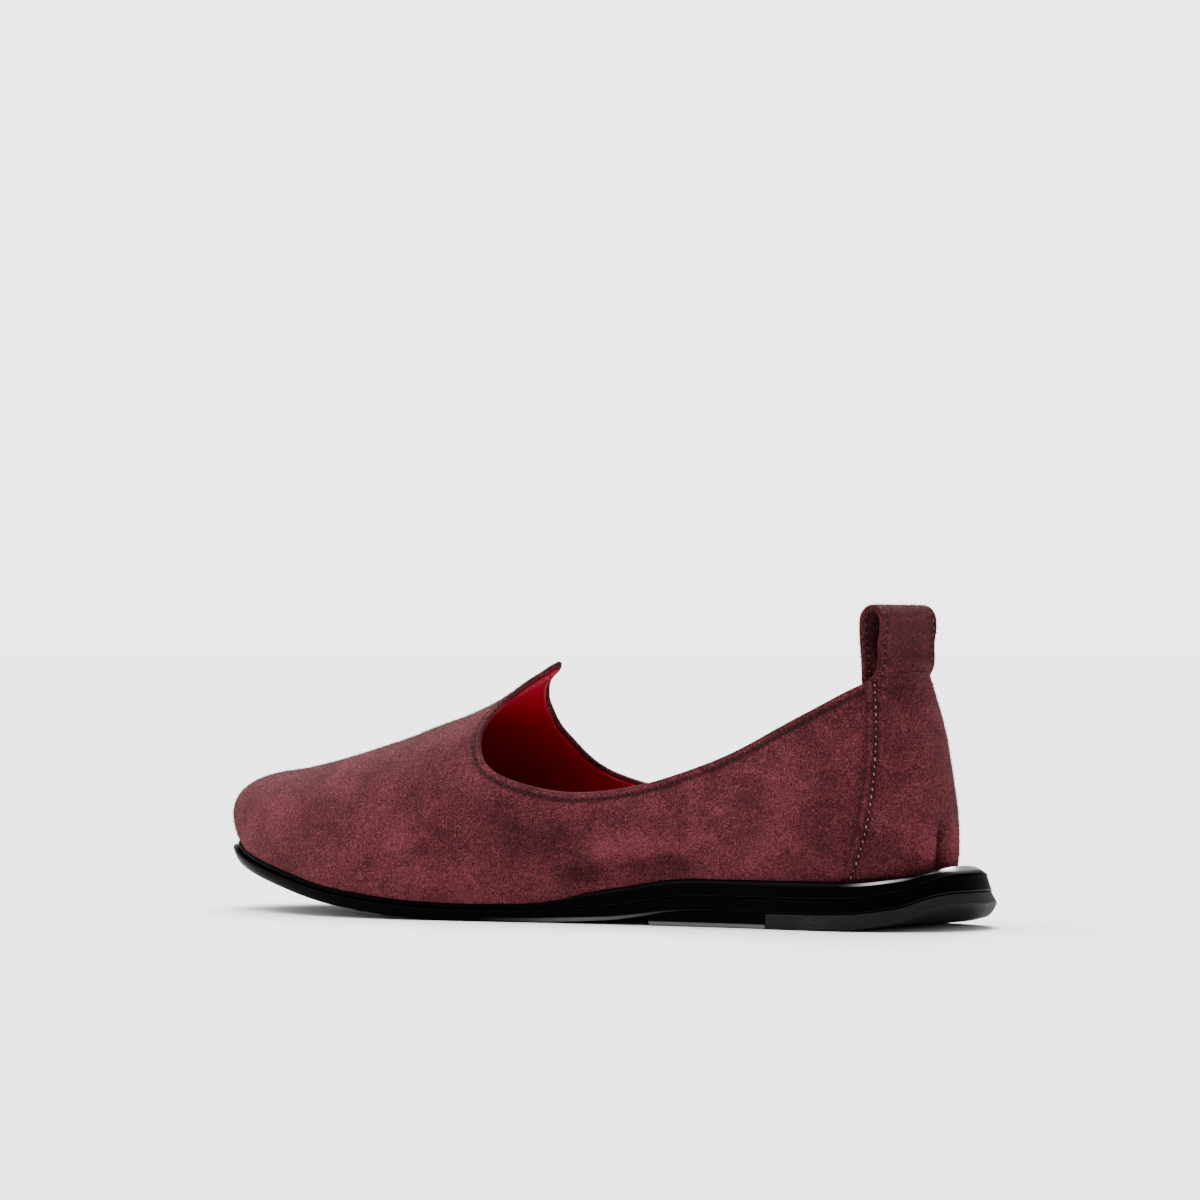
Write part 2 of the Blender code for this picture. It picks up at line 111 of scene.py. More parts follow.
# The camera stands low behind the heel on the shoe's outer side.
VIEW_TURN = math.radians(125.0)
VIEW_RISE = math.radians(1.35)
VIEW_DISTANCE = 1.8
VIEW_LENS = 167.44
VIEW_SENSOR = 36.0
VIEW_CENTRE = 0.045
AIM_SIDE = 0.0029
AIM_HEIGHT = 0.1022
eye = Vector((
    VIEW_DISTANCE * math.sin(VIEW_TURN) * math.cos(VIEW_RISE),
    -VIEW_DISTANCE * math.cos(VIEW_TURN) * math.cos(VIEW_RISE),
    VIEW_CENTRE + VIEW_DISTANCE * math.sin(VIEW_RISE),
))
camera = bpy.data.cameras.new("photo_view")
camera.lens = VIEW_LENS
camera.sensor_width = VIEW_SENSOR
camera_object = put_in("photo_view", camera)
aim(camera_object, eye, (AIM_SIDE * math.cos(VIEW_TURN), AIM_SIDE * math.sin(VIEW_TURN), AIM_HEIGHT))
bpy.context.scene.camera = camera_object


# The outsole
# One piece of thick sole leather from heel to toe, cut round the last's outline and
# cemented on. Its edge is trimmed, inked black and polished, and bevelled at the ground.
LAST_LENGTH = 0.2752
BALL_WIDTH = 0.093
HEEL_WIDTH = 0.061
HEEL_ROUNDING = 0.17
HEEL_SQUARENESS = 2.15
TOE_ROUNDING = 0.31
TOE_SQUARENESS = 2.2
LIFT_THICKNESS = 0.0048
OUTSOLE_THICKNESS = 0.0043
RAND_THICKNESS = 0.0013
WEDGE_THICKNESS = 0.0037
TOE_SPRING = 0.0192
HEEL_CURL = 0.0078
SOLE_EDGE = 0.0024
HEEL_SHELF = 0.0098
HEEL_FLARE = 0.0045
SOLE_BEVEL = 0.0011
LAYER_BEVEL = 0.00025
LEDGE_SLOPE = 0.0013
BEVEL_RISE = 1.25
BEVEL_DEPTH = 0.5
FILLET = 0.00016
GAP = 0.0003
SOLE_RUNGS = 300
MERGE_DISTANCE = 2e-6
LAYER_CORNER_DEGREES = 24
# A layer's rounded corners: steps round each one, the flat rim beside it in fillets, and
# the most that it takes of a side.
CORNER_STEPS = (0.0, 0.33, 0.67, 1.0)
FLAT_RIM = 4
ARM_LIMIT = 0.45
# Shares of the last: where the back of the heel ends, and where the side of its ledge shines.
HEEL_END = 0.013
SHINE_PLACE = 0.038
SHINE_REACH = 0.014
# The midsole's standing out between which the lower bevel's shine comes up.
SHINE_RAND = (0.35, 0.95)

PlanRow = namedtuple("PlanRow", "along middle heel ball")
PLAN = [PlanRow(*row) for row in (
    # middle: shift to the outer side as a share of the ball width
    # heel, ball: shares of the heel width and the ball width in the full width
    (0.00, 0.000, 1.00, 0.00),
    (0.16, 0.000, 1.00, 0.00),
    (0.30, 0.028, 0.80, 0.12),
    (0.42, 0.048, 0.50, 0.37),
    (0.55, 0.042, 0.16, 0.75),
    (0.66, 0.015, 0.00, 0.98),
    (0.74, -0.010, 0.00, 1.00),
    (0.87, -0.062, 0.00, 0.96),
    (1.00, -0.105, 0.00, 0.90),
)]
SoleRow = namedtuple("SoleRow", "along seat wedge curl spring sole rand shelf")
SOLE = [SoleRow(*row) for row in (
    # shares of the heel lift, the wedge, the upturned back, the toe spring and the
    # outsole's thickness; how far the midsole's edge comes out; the ledge at the heel
    (-0.045, 0.80, 0.60, 1.00, 0.00, 1.24, 1.00, 1.00),
    (0.00, 0.94, 0.76, 0.33, 0.00, 1.07, 1.00, 1.00),
    (0.06, 1.00, 0.92, 0.03, 0.00, 1.00, 1.00, 0.60),
    (0.13, 1.00, 1.00, 0.00, 0.00, 1.00, 1.00, 0.15),
    (0.20, 1.00, 1.00, 0.00, 0.00, 1.00, 1.00, 0.00),
    (0.25, 0.99, 1.01, 0.00, 0.00, 1.00, 1.00, 0.00),
    (0.285, 0.86, 1.05, 0.00, 0.00, 1.00, 1.00, 0.00),
    (0.32, 0.56, 1.12, 0.00, 0.00, 0.98, 1.00, 0.00),
    (0.36, 0.28, 1.06, 0.00, 0.00, 0.95, 1.00, 0.00),
    (0.39, 0.18, 0.84, 0.00, 0.00, 0.93, 0.95, 0.00),
    (0.43, 0.08, 0.30, 0.00, 0.00, 0.90, 0.75, 0.00),
    (0.47, 0.00, 0.08, 0.00, 0.00, 0.88, 0.52, 0.00),
    (0.55, 0.00, 0.00, 0.00, 0.00, 0.85, 0.32, 0.00),
    (0.61, 0.00, 0.00, 0.00, 0.03, 0.83, 0.30, 0.00),
    (0.72, 0.00, 0.00, 0.00, 0.19, 0.78, 0.30, 0.00),
    (0.84, 0.00, 0.00, 0.00, 0.50, 0.73, 0.30, 0.00),
    (0.93, 0.00, 0.00, 0.00, 0.765, 0.66, 0.30, 0.00),
    (1.00, 0.00, 0.00, 0.00, 1.00, 0.42, 0.30, 0.00),
)]


def read(table, column, along):
    """Values of a table's column at places along the shoe, on a curve that never overshoots."""
    xs = np.array([row[0] for row in table])
    ys = np.array([getattr(row, column) for row in table])
    steps = np.diff(xs)
    rates = np.diff(ys) / steps
    tilt = np.zeros(len(xs))
    for k in range(1, len(xs) - 1):
        before, after = rates[k - 1], rates[k]
        if before * after > 0:
            a = 2 * steps[k] + steps[k - 1]
            b = steps[k] + 2 * steps[k - 1]
            tilt[k] = (a + b) / (a / before + b / after)
    along = np.clip(along, xs[0], xs[-1])
    k = np.clip(np.searchsorted(xs, along, side="right") - 1, 0, len(xs) - 2)
    s = (along - xs[k]) / steps[k]
    rise = ys[k] * (1 + 2 * s) * (1 - s) ** 2 + ys[k + 1] * s * s * (3 - 2 * s)
    return rise + steps[k] * (tilt[k] * s * (1 - s) ** 2 + tilt[k + 1] * s * s * (s - 1))


def along_at(turn):
    """The share of the last at a turn round its outline, 0 at the heel and pi at the toe."""
    return 0.5 * (1 - np.cos(turn))


def rounding(distance, length, squareness):
    """Share of the full width at a distance from an end that is rounded over a length."""
    inside = np.clip(distance / length, 0.0, 1.0)
    return (1 - (1 - inside) ** squareness) ** (1 / squareness)


def unit(vectors):
    return vectors / np.linalg.norm(vectors, axis=-1, keepdims=True)


def plan_point(turn, shift_x=0.0):
    """The feather edge, where the upper meets the sole: x and y at turns round the last."""
    turn = (turn + math.pi) % (2 * math.pi) - math.pi
    along = along_at(turn)
    width = HEEL_WIDTH * read(PLAN, "heel", along) + BALL_WIDTH * read(PLAN, "ball", along)
    width = width * rounding(along, HEEL_ROUNDING, HEEL_SQUARENESS)
    width = width * rounding(1 - along, TOE_ROUNDING, TOE_SQUARENESS)
    middle = BALL_WIDTH * read(PLAN, "middle", along)
    side = np.where(turn > 0, 0.5, -0.5) * width
    return np.stack([middle + side - shift_x, HEEL_BACK_Y - along * LAST_LENGTH], axis=-1)


HEEL_BACK_Y = 0.5 * (LAST_LENGTH + SOLE_EDGE + HEEL_SHELF + HEEL_FLARE) - HEEL_SHELF - HEEL_FLARE
PLAN_XS = plan_point(np.linspace(-math.pi, math.pi, 721))[:, 0]
MIDDLE_X = 0.5 * (PLAN_XS.max() + PLAN_XS.min())


def outline(turn, offset):
    """Points at an offset outside the feather edge, square to it."""
    small = 0.01
    tangent = unit(plan_point(turn + small, MIDDLE_X) - plan_point(turn - small, MIDDLE_X))
    square = np.stack([-tangent[..., 1], tangent[..., 0]], axis=-1)
    return plan_point(turn, MIDDLE_X) + square * np.asarray(offset)[..., None]


def along_of(y):
    """The share of the last at a place along the shoe."""
    return (HEEL_BACK_Y - y) / LAST_LENGTH


def shelf_edge(turn):
    """How far the top of the sole stands out beyond the feather edge."""
    return SOLE_EDGE + (HEEL_SHELF - SOLE_EDGE) * read(SOLE, "shelf", along_at(turn))


def ground_level(y):
    """How far the underside of the heel has turned up off the ground."""
    return HEEL_CURL * read(SOLE, "curl", along_of(y))


def outsole_bottom(y):
    seat = (LIFT_THICKNESS + GAP) * read(SOLE, "seat", along_of(y))
    return ground_level(y) + seat + TOE_SPRING * read(SOLE, "spring", along_of(y))


def outsole_top(y):
    return outsole_bottom(y) + OUTSOLE_THICKNESS * read(SOLE, "sole", along_of(y))


def midsole_top(y):
    wedge = WEDGE_THICKNESS * read(SOLE, "wedge", along_of(y))
    return outsole_top(y) + GAP + RAND_THICKNESS + wedge


def feather_level(y):
    """Where the upper's lower edge and the insole stand on the midsole."""
    return midsole_top(y) + GAP


def layer_edges(upper_depth, lower_depth):
    """Edges of a sole layer that lies between two depths under the top of the sole."""
    stack = RAND_THICKNESS + WEDGE_THICKNESS + OUTSOLE_THICKNESS + LIFT_THICKNESS + 2 * GAP

    def edges(turn):
        flare = HEEL_FLARE * read(SOLE, "shelf", along_at(turn))
        return [shelf_edge(turn) + flare * depth / stack for depth in (upper_depth, lower_depth)]

    return edges


def hump(values, place, width):
    """1 where the values meet a place, fading to 0 on both sides over a width."""
    return np.exp(-(((values - place) / width) ** 2))


def object_from(name, points, faces, finish, tags):
    """An object from points and faces, with its finish and the numbers that its points carry."""
    mesh = bpy.data.meshes.new(name)
    mesh.from_pydata([tuple(p) for p in points], [], [tuple(f) for f in faces])
    for label, values in tags.items():
        layer = mesh.attributes.new(label, "FLOAT", "POINT")
        layer.data.foreach_set("value", np.asarray(values, float))
    mesh.materials.append(finish)
    return put_in(name, mesh)


def smooth(made, sharp_degrees):
    """Shades a piece smooth and keeps its corners above an angle sharp."""
    made.data.shade_smooth()
    made.data.set_sharp_from_angle(angle=math.radians(sharp_degrees))


def mend(made):
    """Merges a mesh's doubles and points its faces outwards."""
    work = bmesh.new()
    work.from_mesh(made.data)
    bmesh.ops.remove_doubles(work, verts=work.verts, dist=MERGE_DISTANCE)
    bmesh.ops.dissolve_degenerate(work, edges=work.edges, dist=MERGE_DISTANCE)
    bmesh.ops.recalc_face_normals(work, faces=work.faces)
    work.to_mesh(made.data)
    work.free()


def heel_end(turn):
    """1 at the middle of the heel's back, fading to 0 where the sides begin."""
    return np.clip(1 - along_at(turn) / HEEL_END, 0, 1)


def sole_layer(name, start, end, top, bottom, edges, bevels, finish, fillet=FILLET):
    """A layer of the sole between two shares of the last, with bevelled, softened edges."""
    ends = [math.acos(1 - 2 * min(max(share, 0.0), 1.0)) for share in (start, end)]
    turn = np.linspace(*ends, SOLE_RUNGS + 1)
    flat = np.zeros_like(turn)
    upper_edge, lower_edge = [edge + flat for edge in edges(turn)]
    upper_bevel, lower_bevel = [bevel + flat for bevel in bevels(turn)]
    profile = (
        (upper_edge - upper_bevel - FLAT_RIM * fillet, top, flat),
        (upper_edge - upper_bevel, top, flat),
        (upper_edge, top, -upper_bevel),
        (lower_edge, bottom, BEVEL_RISE * lower_bevel),
        (lower_edge - BEVEL_DEPTH * lower_bevel, bottom, flat),
        (lower_edge - BEVEL_DEPTH * lower_bevel - FLAT_RIM * fillet, bottom, flat),
    )
    # How polished the profile's points are, from the top's rim to the bottom's: on the
    # upper bevel, and on the lower one.
    top_shine = np.array([1] * 6 + [0.6, 0.2] + [0] * 10)
    low_shine = np.array([0] * 10 + [0.3, 0.7, 1, 1, 0.7, 0.3] + [0] * 2)
    halves = []
    for side in (1, -1):
        line = []
        for offset, level, raised in profile:
            xy = outline(side * turn, offset)
            line.append(np.concatenate([xy, (level(xy[:, 1]) + raised)[:, None]], axis=1))
        rounded = [line[0]]
        for before, corner, after in zip(line, line[1:], line[2:]):
            arms = []
            for arm in (before - corner, after - corner):
                reach = np.linalg.norm(arm, axis=1, keepdims=True)
                arms.append(arm * np.minimum(fillet / np.maximum(reach, 1e-9), ARM_LIMIT))
            for s in CORNER_STEPS:
                rounded.append(corner + arms[0] * (1 - s) ** 2 + arms[1] * s**2)
        rounded.append(line[-1])
        halves.append(rounded if side > 0 else rounded[::-1])
    ring = np.stack(halves[0] + halves[1], axis=1)
    count = ring.shape[1]
    faces = []
    for k in range(SOLE_RUNGS):
        for j in range(count):
            after = (j + 1) % count
            faces.append((k * count + j, k * count + after, (k + 1) * count + after, (k + 1) * count + j))
    faces.append(tuple(range(count))[::-1])
    faces.append(tuple(SOLE_RUNGS * count + j for j in range(count)))
    along = along_at(turn)
    at_heel = hump(along, SHINE_PLACE, SHINE_REACH) + heel_end(turn)
    shine = np.outer(at_heel * (upper_bevel > LAYER_BEVEL), top_shine)
    behind_ball = np.interp(read(SOLE, "rand", along), SHINE_RAND, (0, 1))
    shine += np.outer(behind_ball * np.interp(lower_bevel / SOLE_BEVEL, (0.2, 1), (0, 1)), low_shine)
    polish = np.concatenate([shine, shine[:, ::-1]], axis=1).reshape(-1)
    made = object_from(name, ring.reshape(-1, 3), faces, finish, {"bevel": polish})
    mend(made)
    smooth(made, LAYER_CORNER_DEGREES)
    return made


class Wire:
    """An output of a node tree; sums and products of wires add its Math nodes."""

    def __init__(self, tree, socket=None):
        self.tree = tree
        self.socket = socket

    def node(self, kind, settings=None, sockets=None, out=0):
        """Adds a node, its settings first and then the values or links of its sockets."""
        made = self.tree.nodes.new(kind)
        for label, value in (settings or {}).items():
            if label == "stops":
                elements = made.color_ramp.elements
                elements[0].position, elements[0].color = value[0]
                elements[-1].position, elements[-1].color = value[-1]
                for place, colour in value[1:-1]:
                    elements.new(place).color = colour
            else:
                setattr(made, label, value)
        for label, value in (sockets or {}).items():
            if isinstance(value, Wire):
                self.tree.links.new(value.socket, made.inputs[label])
            else:
                made.inputs[label].default_value = value
        return Wire(self.tree, made.outputs[out])

    def math(self, operation, first, second):
        return self.node("ShaderNodeMath", {"operation": operation}, {0: first, 1: second})

    def __add__(self, other):
        return self.math("ADD", self, other)

    def __radd__(self, other):
        return self.math("ADD", other, self)

    def __sub__(self, other):
        return self.math("SUBTRACT", self, other)

    def __rsub__(self, other):
        return self.math("SUBTRACT", other, self)

    def __mul__(self, other):
        return self.math("MULTIPLY", self, other)

    def __rmul__(self, other):
        return self.math("MULTIPLY", other, self)

    def between(self, low, high):
        """0 below low and 1 above high, with a smooth step."""
        return self.node(
            "ShaderNodeMapRange",
            {"interpolation_type": "SMOOTHSTEP"},
            {"Value": self, "From Min": low, "From Max": high},
        )

    def stretched(self, x, y, z):
        """A position with each axis multiplied, in the pattern's own turns to the metre."""
        return self.node("ShaderNodeMapping", {}, {"Vector": self, "Scale": (x, y, z)})

    def clouds(self, detail=2.0, roughness=0.5, distortion=0.0):
        """Soft noise at a stretched position, 0 to 1."""
        return self.node(
            "ShaderNodeTexNoise",
            {"noise_dimensions": "3D"},
            {"Vector": self, "Scale": 1.0, "Detail": detail, "Roughness": roughness,
             "Distortion": distortion},
        )

    def blend(self, first, second):
        """The first colour where the wire is 0 and the second where it is 1."""
        return self.node("ShaderNodeMix", {"data_type": "RGBA"}, {0: self, 6: first, 7: second}, 2)

    def tag(self, label):
        """A number that the piece's points carry."""
        return self.node("ShaderNodeAttribute", {"attribute_name": label}, out="Fac")

    def chance(self, low, high, seed):
        """A random number for each copy of a stitch or fibre."""
        sockets = {2: low, 3: high, "Seed": seed}
        return self.node("FunctionNodeRandomValue", {"data_type": "FLOAT"}, sockets, 1)

    def bumps(self, depth):
        """A normal from a height, 0 to 1, over a depth in metres."""
        return self.node("ShaderNodeBump", {}, {"Height": self, "Distance": depth, "Strength": 1.0})


def start_material(name):
    """A new material, and a wire with the place on the piece in metres."""
    made = bpy.data.materials.new(name)
    made.use_nodes = True
    tree = made.node_tree
    place = Wire(tree).node("ShaderNodeTexCoord", out="Object")
    return made, place


def dress(made, sockets):
    """Sets the shader's sockets: a wire where a value changes, a number where it does not."""
    shader = made.node_tree.nodes["Principled BSDF"]
    for label, value in sockets.items():
        if isinstance(value, Wire):
            made.node_tree.links.new(value.socket, shader.inputs[label])
        else:
            shader.inputs[label].default_value = value


def colour(red, green, blue):
    return (red, green, blue, 1.0)


# Inked sole edge: near black, with fine level streaks from the sanding wheel. Only the
# burnished bevels shine.
sole_finish, place = start_material("inked_sole_edge")
streaks = place.stretched(60, 60, 2600).clouds(3.0, 0.6)
scuffs = place.stretched(240, 240, 700).clouds(4.0, 0.6, 0.4)
burnish = place.tag("bevel")
dust = scuffs.between(0.60, 0.80) * 0.35
dress(sole_finish, {
    "Base Color": (streaks * 0.6 + dust).blend(
        colour(0.0003, 0.0003, 0.0003), colour(0.0016, 0.0016, 0.0016)),
    "Roughness": 0.30 + streaks * 0.16 + dust * 0.4 - burnish * 0.06,
    "Normal": (streaks * 0.6 + scuffs * 0.4).bumps(0.00005),
    "Coat Weight": burnish,
    "Coat Roughness": 0.16,
    "Coat IOR": 1.9,
    "Specular IOR Level": 0.01,
})

rand_depth = RAND_THICKNESS + WEDGE_THICKNESS
outsole_depth = rand_depth + GAP


def outsole_bevels(turn):
    seat = read(SOLE, "seat", along_at(turn))
    return LAYER_BEVEL, SOLE_BEVEL + (LAYER_BEVEL - SOLE_BEVEL) * seat


walking_sole = sole_layer(
    "walking_sole", 0, 1, outsole_top, outsole_bottom,
    layer_edges(outsole_depth, outsole_depth + OUTSOLE_THICKNESS), outsole_bevels, sole_finish,
)
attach(walking_sole, "root")
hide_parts("outsole")


# The rand and wedge
# A thin midsole round the forefoot that thickens under the waist and heel, of the same
# black leather. At the toe its edge lies back under the suede as a dark line.
def rand_edges(turn):
    rand = read(SOLE, "rand", along_at(turn))
    return [edge * rand for edge in layer_edges(0.0, rand_depth)(turn)]


def rand_bevels(turn):
    wedge = np.minimum(read(SOLE, "wedge", along_at(turn)), 1.0)
    return LAYER_BEVEL + (SOLE_BEVEL - LAYER_BEVEL) * wedge + LEDGE_SLOPE * heel_end(turn), LAYER_BEVEL


rand_and_wedge = sole_layer(
    "rand_and_wedge", 0, 1, midsole_top, lambda y: outsole_top(y) + GAP,
    rand_edges, rand_bevels, sole_finish,
)
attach(rand_and_wedge, "root")
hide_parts("midsole_wedge")


# The heel
# A low leather lift under the outsole, with a rubber top piece let in at the back,
# where the heel strikes. The rubber is dull and dark grey, and lightly scuffed.
LIFT_LENGTH = 0.0853
TOP_PIECE_LENGTH = 0.0426
RUBBER_BEVEL = 0.0005
SCUFF_PLACE = (0.034, 0.106, 0.0036)
SCUFF_REACH = 0.0062
heel_depth = outsole_depth + OUTSOLE_THICKNESS + GAP

rubber_finish, place = start_material("heel_rubber")
grain = place.stretched(900, 900, 900).clouds(3.0, 0.6)
wipes = place.stretched(90, 90, 500).clouds(3.0, 0.6, 0.5)
from_scuff = place.node(
    "ShaderNodeVectorMath", {"operation": "DISTANCE"}, {0: place, 1: SCUFF_PLACE}, 1,
)
scrapes = place.stretched(700, 300, 1500).clouds(3.0, 0.7, 1.0)
scuff = from_scuff.between(SCUFF_REACH, 0.4 * SCUFF_REACH) * scrapes.between(0.50, 0.66)
dress(rubber_finish, {
    "Base Color": (wipes.between(0.45, 0.8) * 0.5 + grain * 0.2 + scuff * 3.0).blend(
        colour(0.0028, 0.0028, 0.0029), colour(0.013, 0.013, 0.013)),
    "Roughness": 0.55 + grain * 0.16,
    "Normal": grain.bumps(0.00008),
    "Specular IOR Level": 0.12,
})


def heel_layer(name, start, end, bevel, finish):
    return sole_layer(
        name, start, end, lambda y: outsole_bottom(y) - GAP, ground_level,
        layer_edges(heel_depth, heel_depth + LIFT_THICKNESS),
        lambda turn: (LAYER_BEVEL, bevel), finish,
    )


joint = TOP_PIECE_LENGTH / LAST_LENGTH
stacked_lift = heel_layer(
    "stacked_lift", joint + GAP / LAST_LENGTH, LIFT_LENGTH / LAST_LENGTH, SOLE_BEVEL, sole_finish,
)
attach(stacked_lift, "root")
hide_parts("heel_lift")
rubber_top = heel_layer("rubber_top", 0, joint, RUBBER_BEVEL, rubber_finish)
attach(rubber_top, "root")
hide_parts("top_piece")


# The insole
# A leather board with a red leather sock over it, cut a little smaller than the last and
# laid inside the upper's lower edge.
UPPER_WALL = 0.0022
INSIDE_WALL = -UPPER_WALL - 2 * GAP
INSOLE_THICKNESS = 0.0030
INSOLE_BEVEL = 0.0009
INSOLE_FILLET = 0.0005

lining_finish, place = start_material("red_lining_leather")
pores = place.stretched(1500, 1500, 1500).clouds(3.0, 0.6)
shades = place.stretched(45, 45, 45).clouds(3.0, 0.5)
dress(lining_finish, {
    "Base Color": (shades * 0.7 + pores * 0.3).blend(
        colour(0.22, 0.0010, 0.0100), colour(0.36, 0.0024, 0.0240)),
    "Roughness": 0.45 + pores * 0.2,
    "Normal": (pores * 0.7 + shades * 0.3).bumps(0.00010),
    "Specular IOR Level": 0.08,
})

sock = sole_layer(
    "sock", 0, 1, lambda y: feather_level(y) + INSOLE_THICKNESS, feather_level,
    lambda turn: (INSIDE_WALL, INSIDE_WALL), lambda turn: (INSOLE_BEVEL, LAYER_BEVEL),
    lining_finish, fillet=INSOLE_FILLET,
)
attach(sock, "root")
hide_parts("insole")


# The upper
# Vamp and quarters of maroon suede in one piece, soaked soft and pulled over the last,
# with its top edge turned in and stitched. It carries a few soft folds from the making.
BALL_HEIGHT = 0.0458
TONGUE_HEIGHT = 0.0830
BACK_HEIGHT = 0.0790
SPINE_HEEL = 0.125
SPINE_TOE = 0.935
SUEDE_THICKNESS = 0.00135
RIBS = 440
RIB_STEPS = 72
TOPLINE_STEPS = 24
RIM_ROUND = 0.00062
SEAM_FROM_EDGE = 0.0026
SEAM_WIDTH = 0.0006
SEAM_DEPTH = 0.00024
TURNED_EDGE = 0.00018
TURNED_EDGE_PLACE = 0.0012
TURNED_EDGE_WIDTH = 0.0009
WALL_CORNER_DEGREES = 50
HEEL_FOLDS_END = 0.04
UNDULATION = 0.00032
BROAD_WAVES = 55.0
FINE_WAVES = 130.0
WAVE_SHIFT = Vector((7.0, 3.0, 1.0))
# How deep a fold's give is painted as full shade or light, and the limits of that painting: painted shade
# above 0, painted light below 0.
CREASE_SHADE = 0.0013
CREASE_PAINTED_LIGHT = (-0.35, 0.42)
RIM_LEVELS = (0.00010, 0.00025, 0.00045, 0.0007, 0.0010, 0.0015, 0.0020, 0.0026, 0.0032, 0.0040)
RIM_SPACING = 0.0001
# How close to a level a point counts as on it, the share of an edge within which a cut
# moves the nearer point, and the number of points up to which a path is dropped.
ON_LEVEL = 1e-9
NEAR_POINT = 0.06
SHORT_PATH = 20

RidgeRow = namedtuple("RidgeRow", "along tongue toe side")
RIDGE = [RidgeRow(*row) for row in (
    # tongue, toe: shares of the tongue height and the toe box height in the crown's
    # height, side: the crown's shift to the outer side as a share of the ball width
    (0.10, 1.36, 0.00, 0.00),
    (0.25, 1.33, 0.00, 0.01),
    (0.40, 1.17, 0.00, 0.01),
    (0.512, 0.995, 0.00, 0.00),
    (0.58, 0.855, 0.03, -0.01),
    (0.68, 0.55, 0.355, -0.02),
    (0.78, 0.22, 0.765, -0.02),
    (0.86, 0.05, 0.960, -0.015),
    (0.935, 0.00, 1.000, -0.01),
)]
RibRow = namedtuple("RibRow", "along rise reach flare")
RIB = [RibRow(*row) for row in (
    # rise, reach: how far a rib climbs straight up and runs straight in, as shares of
    # its height and depth, flare: how far it swells out, as a share of the ball width
    (0.00, 0.34, 0.60, 0.052),
    (0.15, 0.42, 0.56, 0.056),
    (0.35, 0.50, 0.50, 0.060),
    (0.52, 0.48, 0.52, 0.060),
    (0.66, 0.50, 0.58, 0.065),
    (0.85, 0.62, 0.66, 0.075),
    (1.00, 0.72, 0.72, 0.090),
)]
ToplineRow = namedtuple("ToplineRow", "along back tongue")
TOPLINE = [ToplineRow(*row) for row in (
    # back, tongue: shares of the back height and the tongue height in the edge's height
    (-0.12, 1.00, 0.00),
    (0.00, 1.00, 0.00),
    (0.05, 0.985, 0.00),
    (0.12, 0.850, 0.00),
    (0.22, 0.674, 0.00),
    (0.33, 0.555, 0.00),
    (0.43, 0.30, 0.215),
    (0.525, 0.00, 0.575),
    (0.564, 0.00, 0.71),
    (0.563, 0.00, 0.83),
    (0.543, 0.00, 0.920),
    (0.521, 0.00, 0.970),
    (0.509, 0.00, 1.010),
    (0.506, 0.00, 1.100),
)]
Fold = namedtuple("Fold", "side start_along start_up end_along end_up width depth")
FOLDS = [Fold(*row) for row in (
    # side: 1 on the outer side, -1 on the inner, 0 at the back, where along is the place
    # across as a share of the ball width; up: share of the back height; depth: below
    # zero for a trough, above for a ridge
    (1, 0.375, 0.300, 0.300, 0.315, 0.0045, 0.00085),
    (1, 0.300, 0.315, 0.235, 0.290, 0.0045, 0.00065),
    (1, 0.345, 0.245, 0.290, 0.215, 0.0028, -0.00100),
    (1, 0.300, 0.255, 0.250, 0.240, 0.0030, -0.00090),
    (1, 0.420, 0.180, 0.370, 0.200, 0.0036, -0.00095),
    (1, 0.520, 0.420, 0.460, 0.330, 0.0065, -0.00035),
    (1, 0.600, 0.360, 0.560, 0.240, 0.0060, -0.00030),
    (1, 0.140, 0.520, 0.170, 0.300, 0.0060, 0.00030),
    (-1, 0.360, 0.310, 0.270, 0.290, 0.0050, 0.00040),
    (-1, 0.400, 0.200, 0.330, 0.220, 0.0040, -0.00050),
    (-1, 0.330, 0.420, 0.280, 0.380, 0.0045, -0.00035),
    (-1, 0.560, 0.330, 0.500, 0.400, 0.0060, -0.00035),
    (0, 0.022, 0.395, 0.036, 0.225, 0.0021, -0.00380),
    (0, -0.036, 0.400, -0.024, 0.230, 0.0034, 0.00220),
    (0, 0.085, 0.380, 0.084, 0.240, 0.0036, 0.00110),
)]


def last_point(turn, climb):
    """Points on the last: up its ribs from the feather edge (0) to the crown (1)."""
    turn, climb = np.broadcast_arrays(np.asarray(turn, float), np.asarray(climb, float))
    along = along_at(turn)
    foot_xy = plan_point(turn, MIDDLE_X)
    foot = np.concatenate([foot_xy, feather_level(foot_xy[..., 1])[..., None]], axis=-1)
    spine = SPINE_HEEL + (SPINE_TOE - SPINE_HEEL) * along
    crown = np.stack([
        BALL_WIDTH * (read(PLAN, "middle", spine) + read(RIDGE, "side", spine)) - MIDDLE_X,
        HEEL_BACK_Y - spine * LAST_LENGTH,
        TONGUE_HEIGHT * read(RIDGE, "tongue", spine) + BALL_HEIGHT * read(RIDGE, "toe", spine),
    ], axis=-1)
    inward = crown - foot
    height = inward[..., 2].copy()
    inward[..., 2] = 0.0
    depth = np.linalg.norm(inward, axis=-1, keepdims=True)
    out = inward / depth * (BALL_WIDTH * read(RIB, "flare", along))[..., None]
    low = foot - out
    low[..., 2] += height * read(RIB, "rise", along)
    high = crown - inward * read(RIB, "reach", along)[..., None]
    s = climb[..., None]
    lower = foot * (1 - s) ** 3 + low * 3 * s * (1 - s) ** 2
    return lower + high * 3 * s * s * (1 - s) + crown * s**3


def last_normal(turn, climb):
    """Outward normals of the last at points of its ribs."""
    small = 0.002
    around = last_point(turn + small, climb) - last_point(turn - small, climb)
    rising = last_point(turn, climb + small) - last_point(turn, climb - small)
    return unit(np.cross(rising, around))


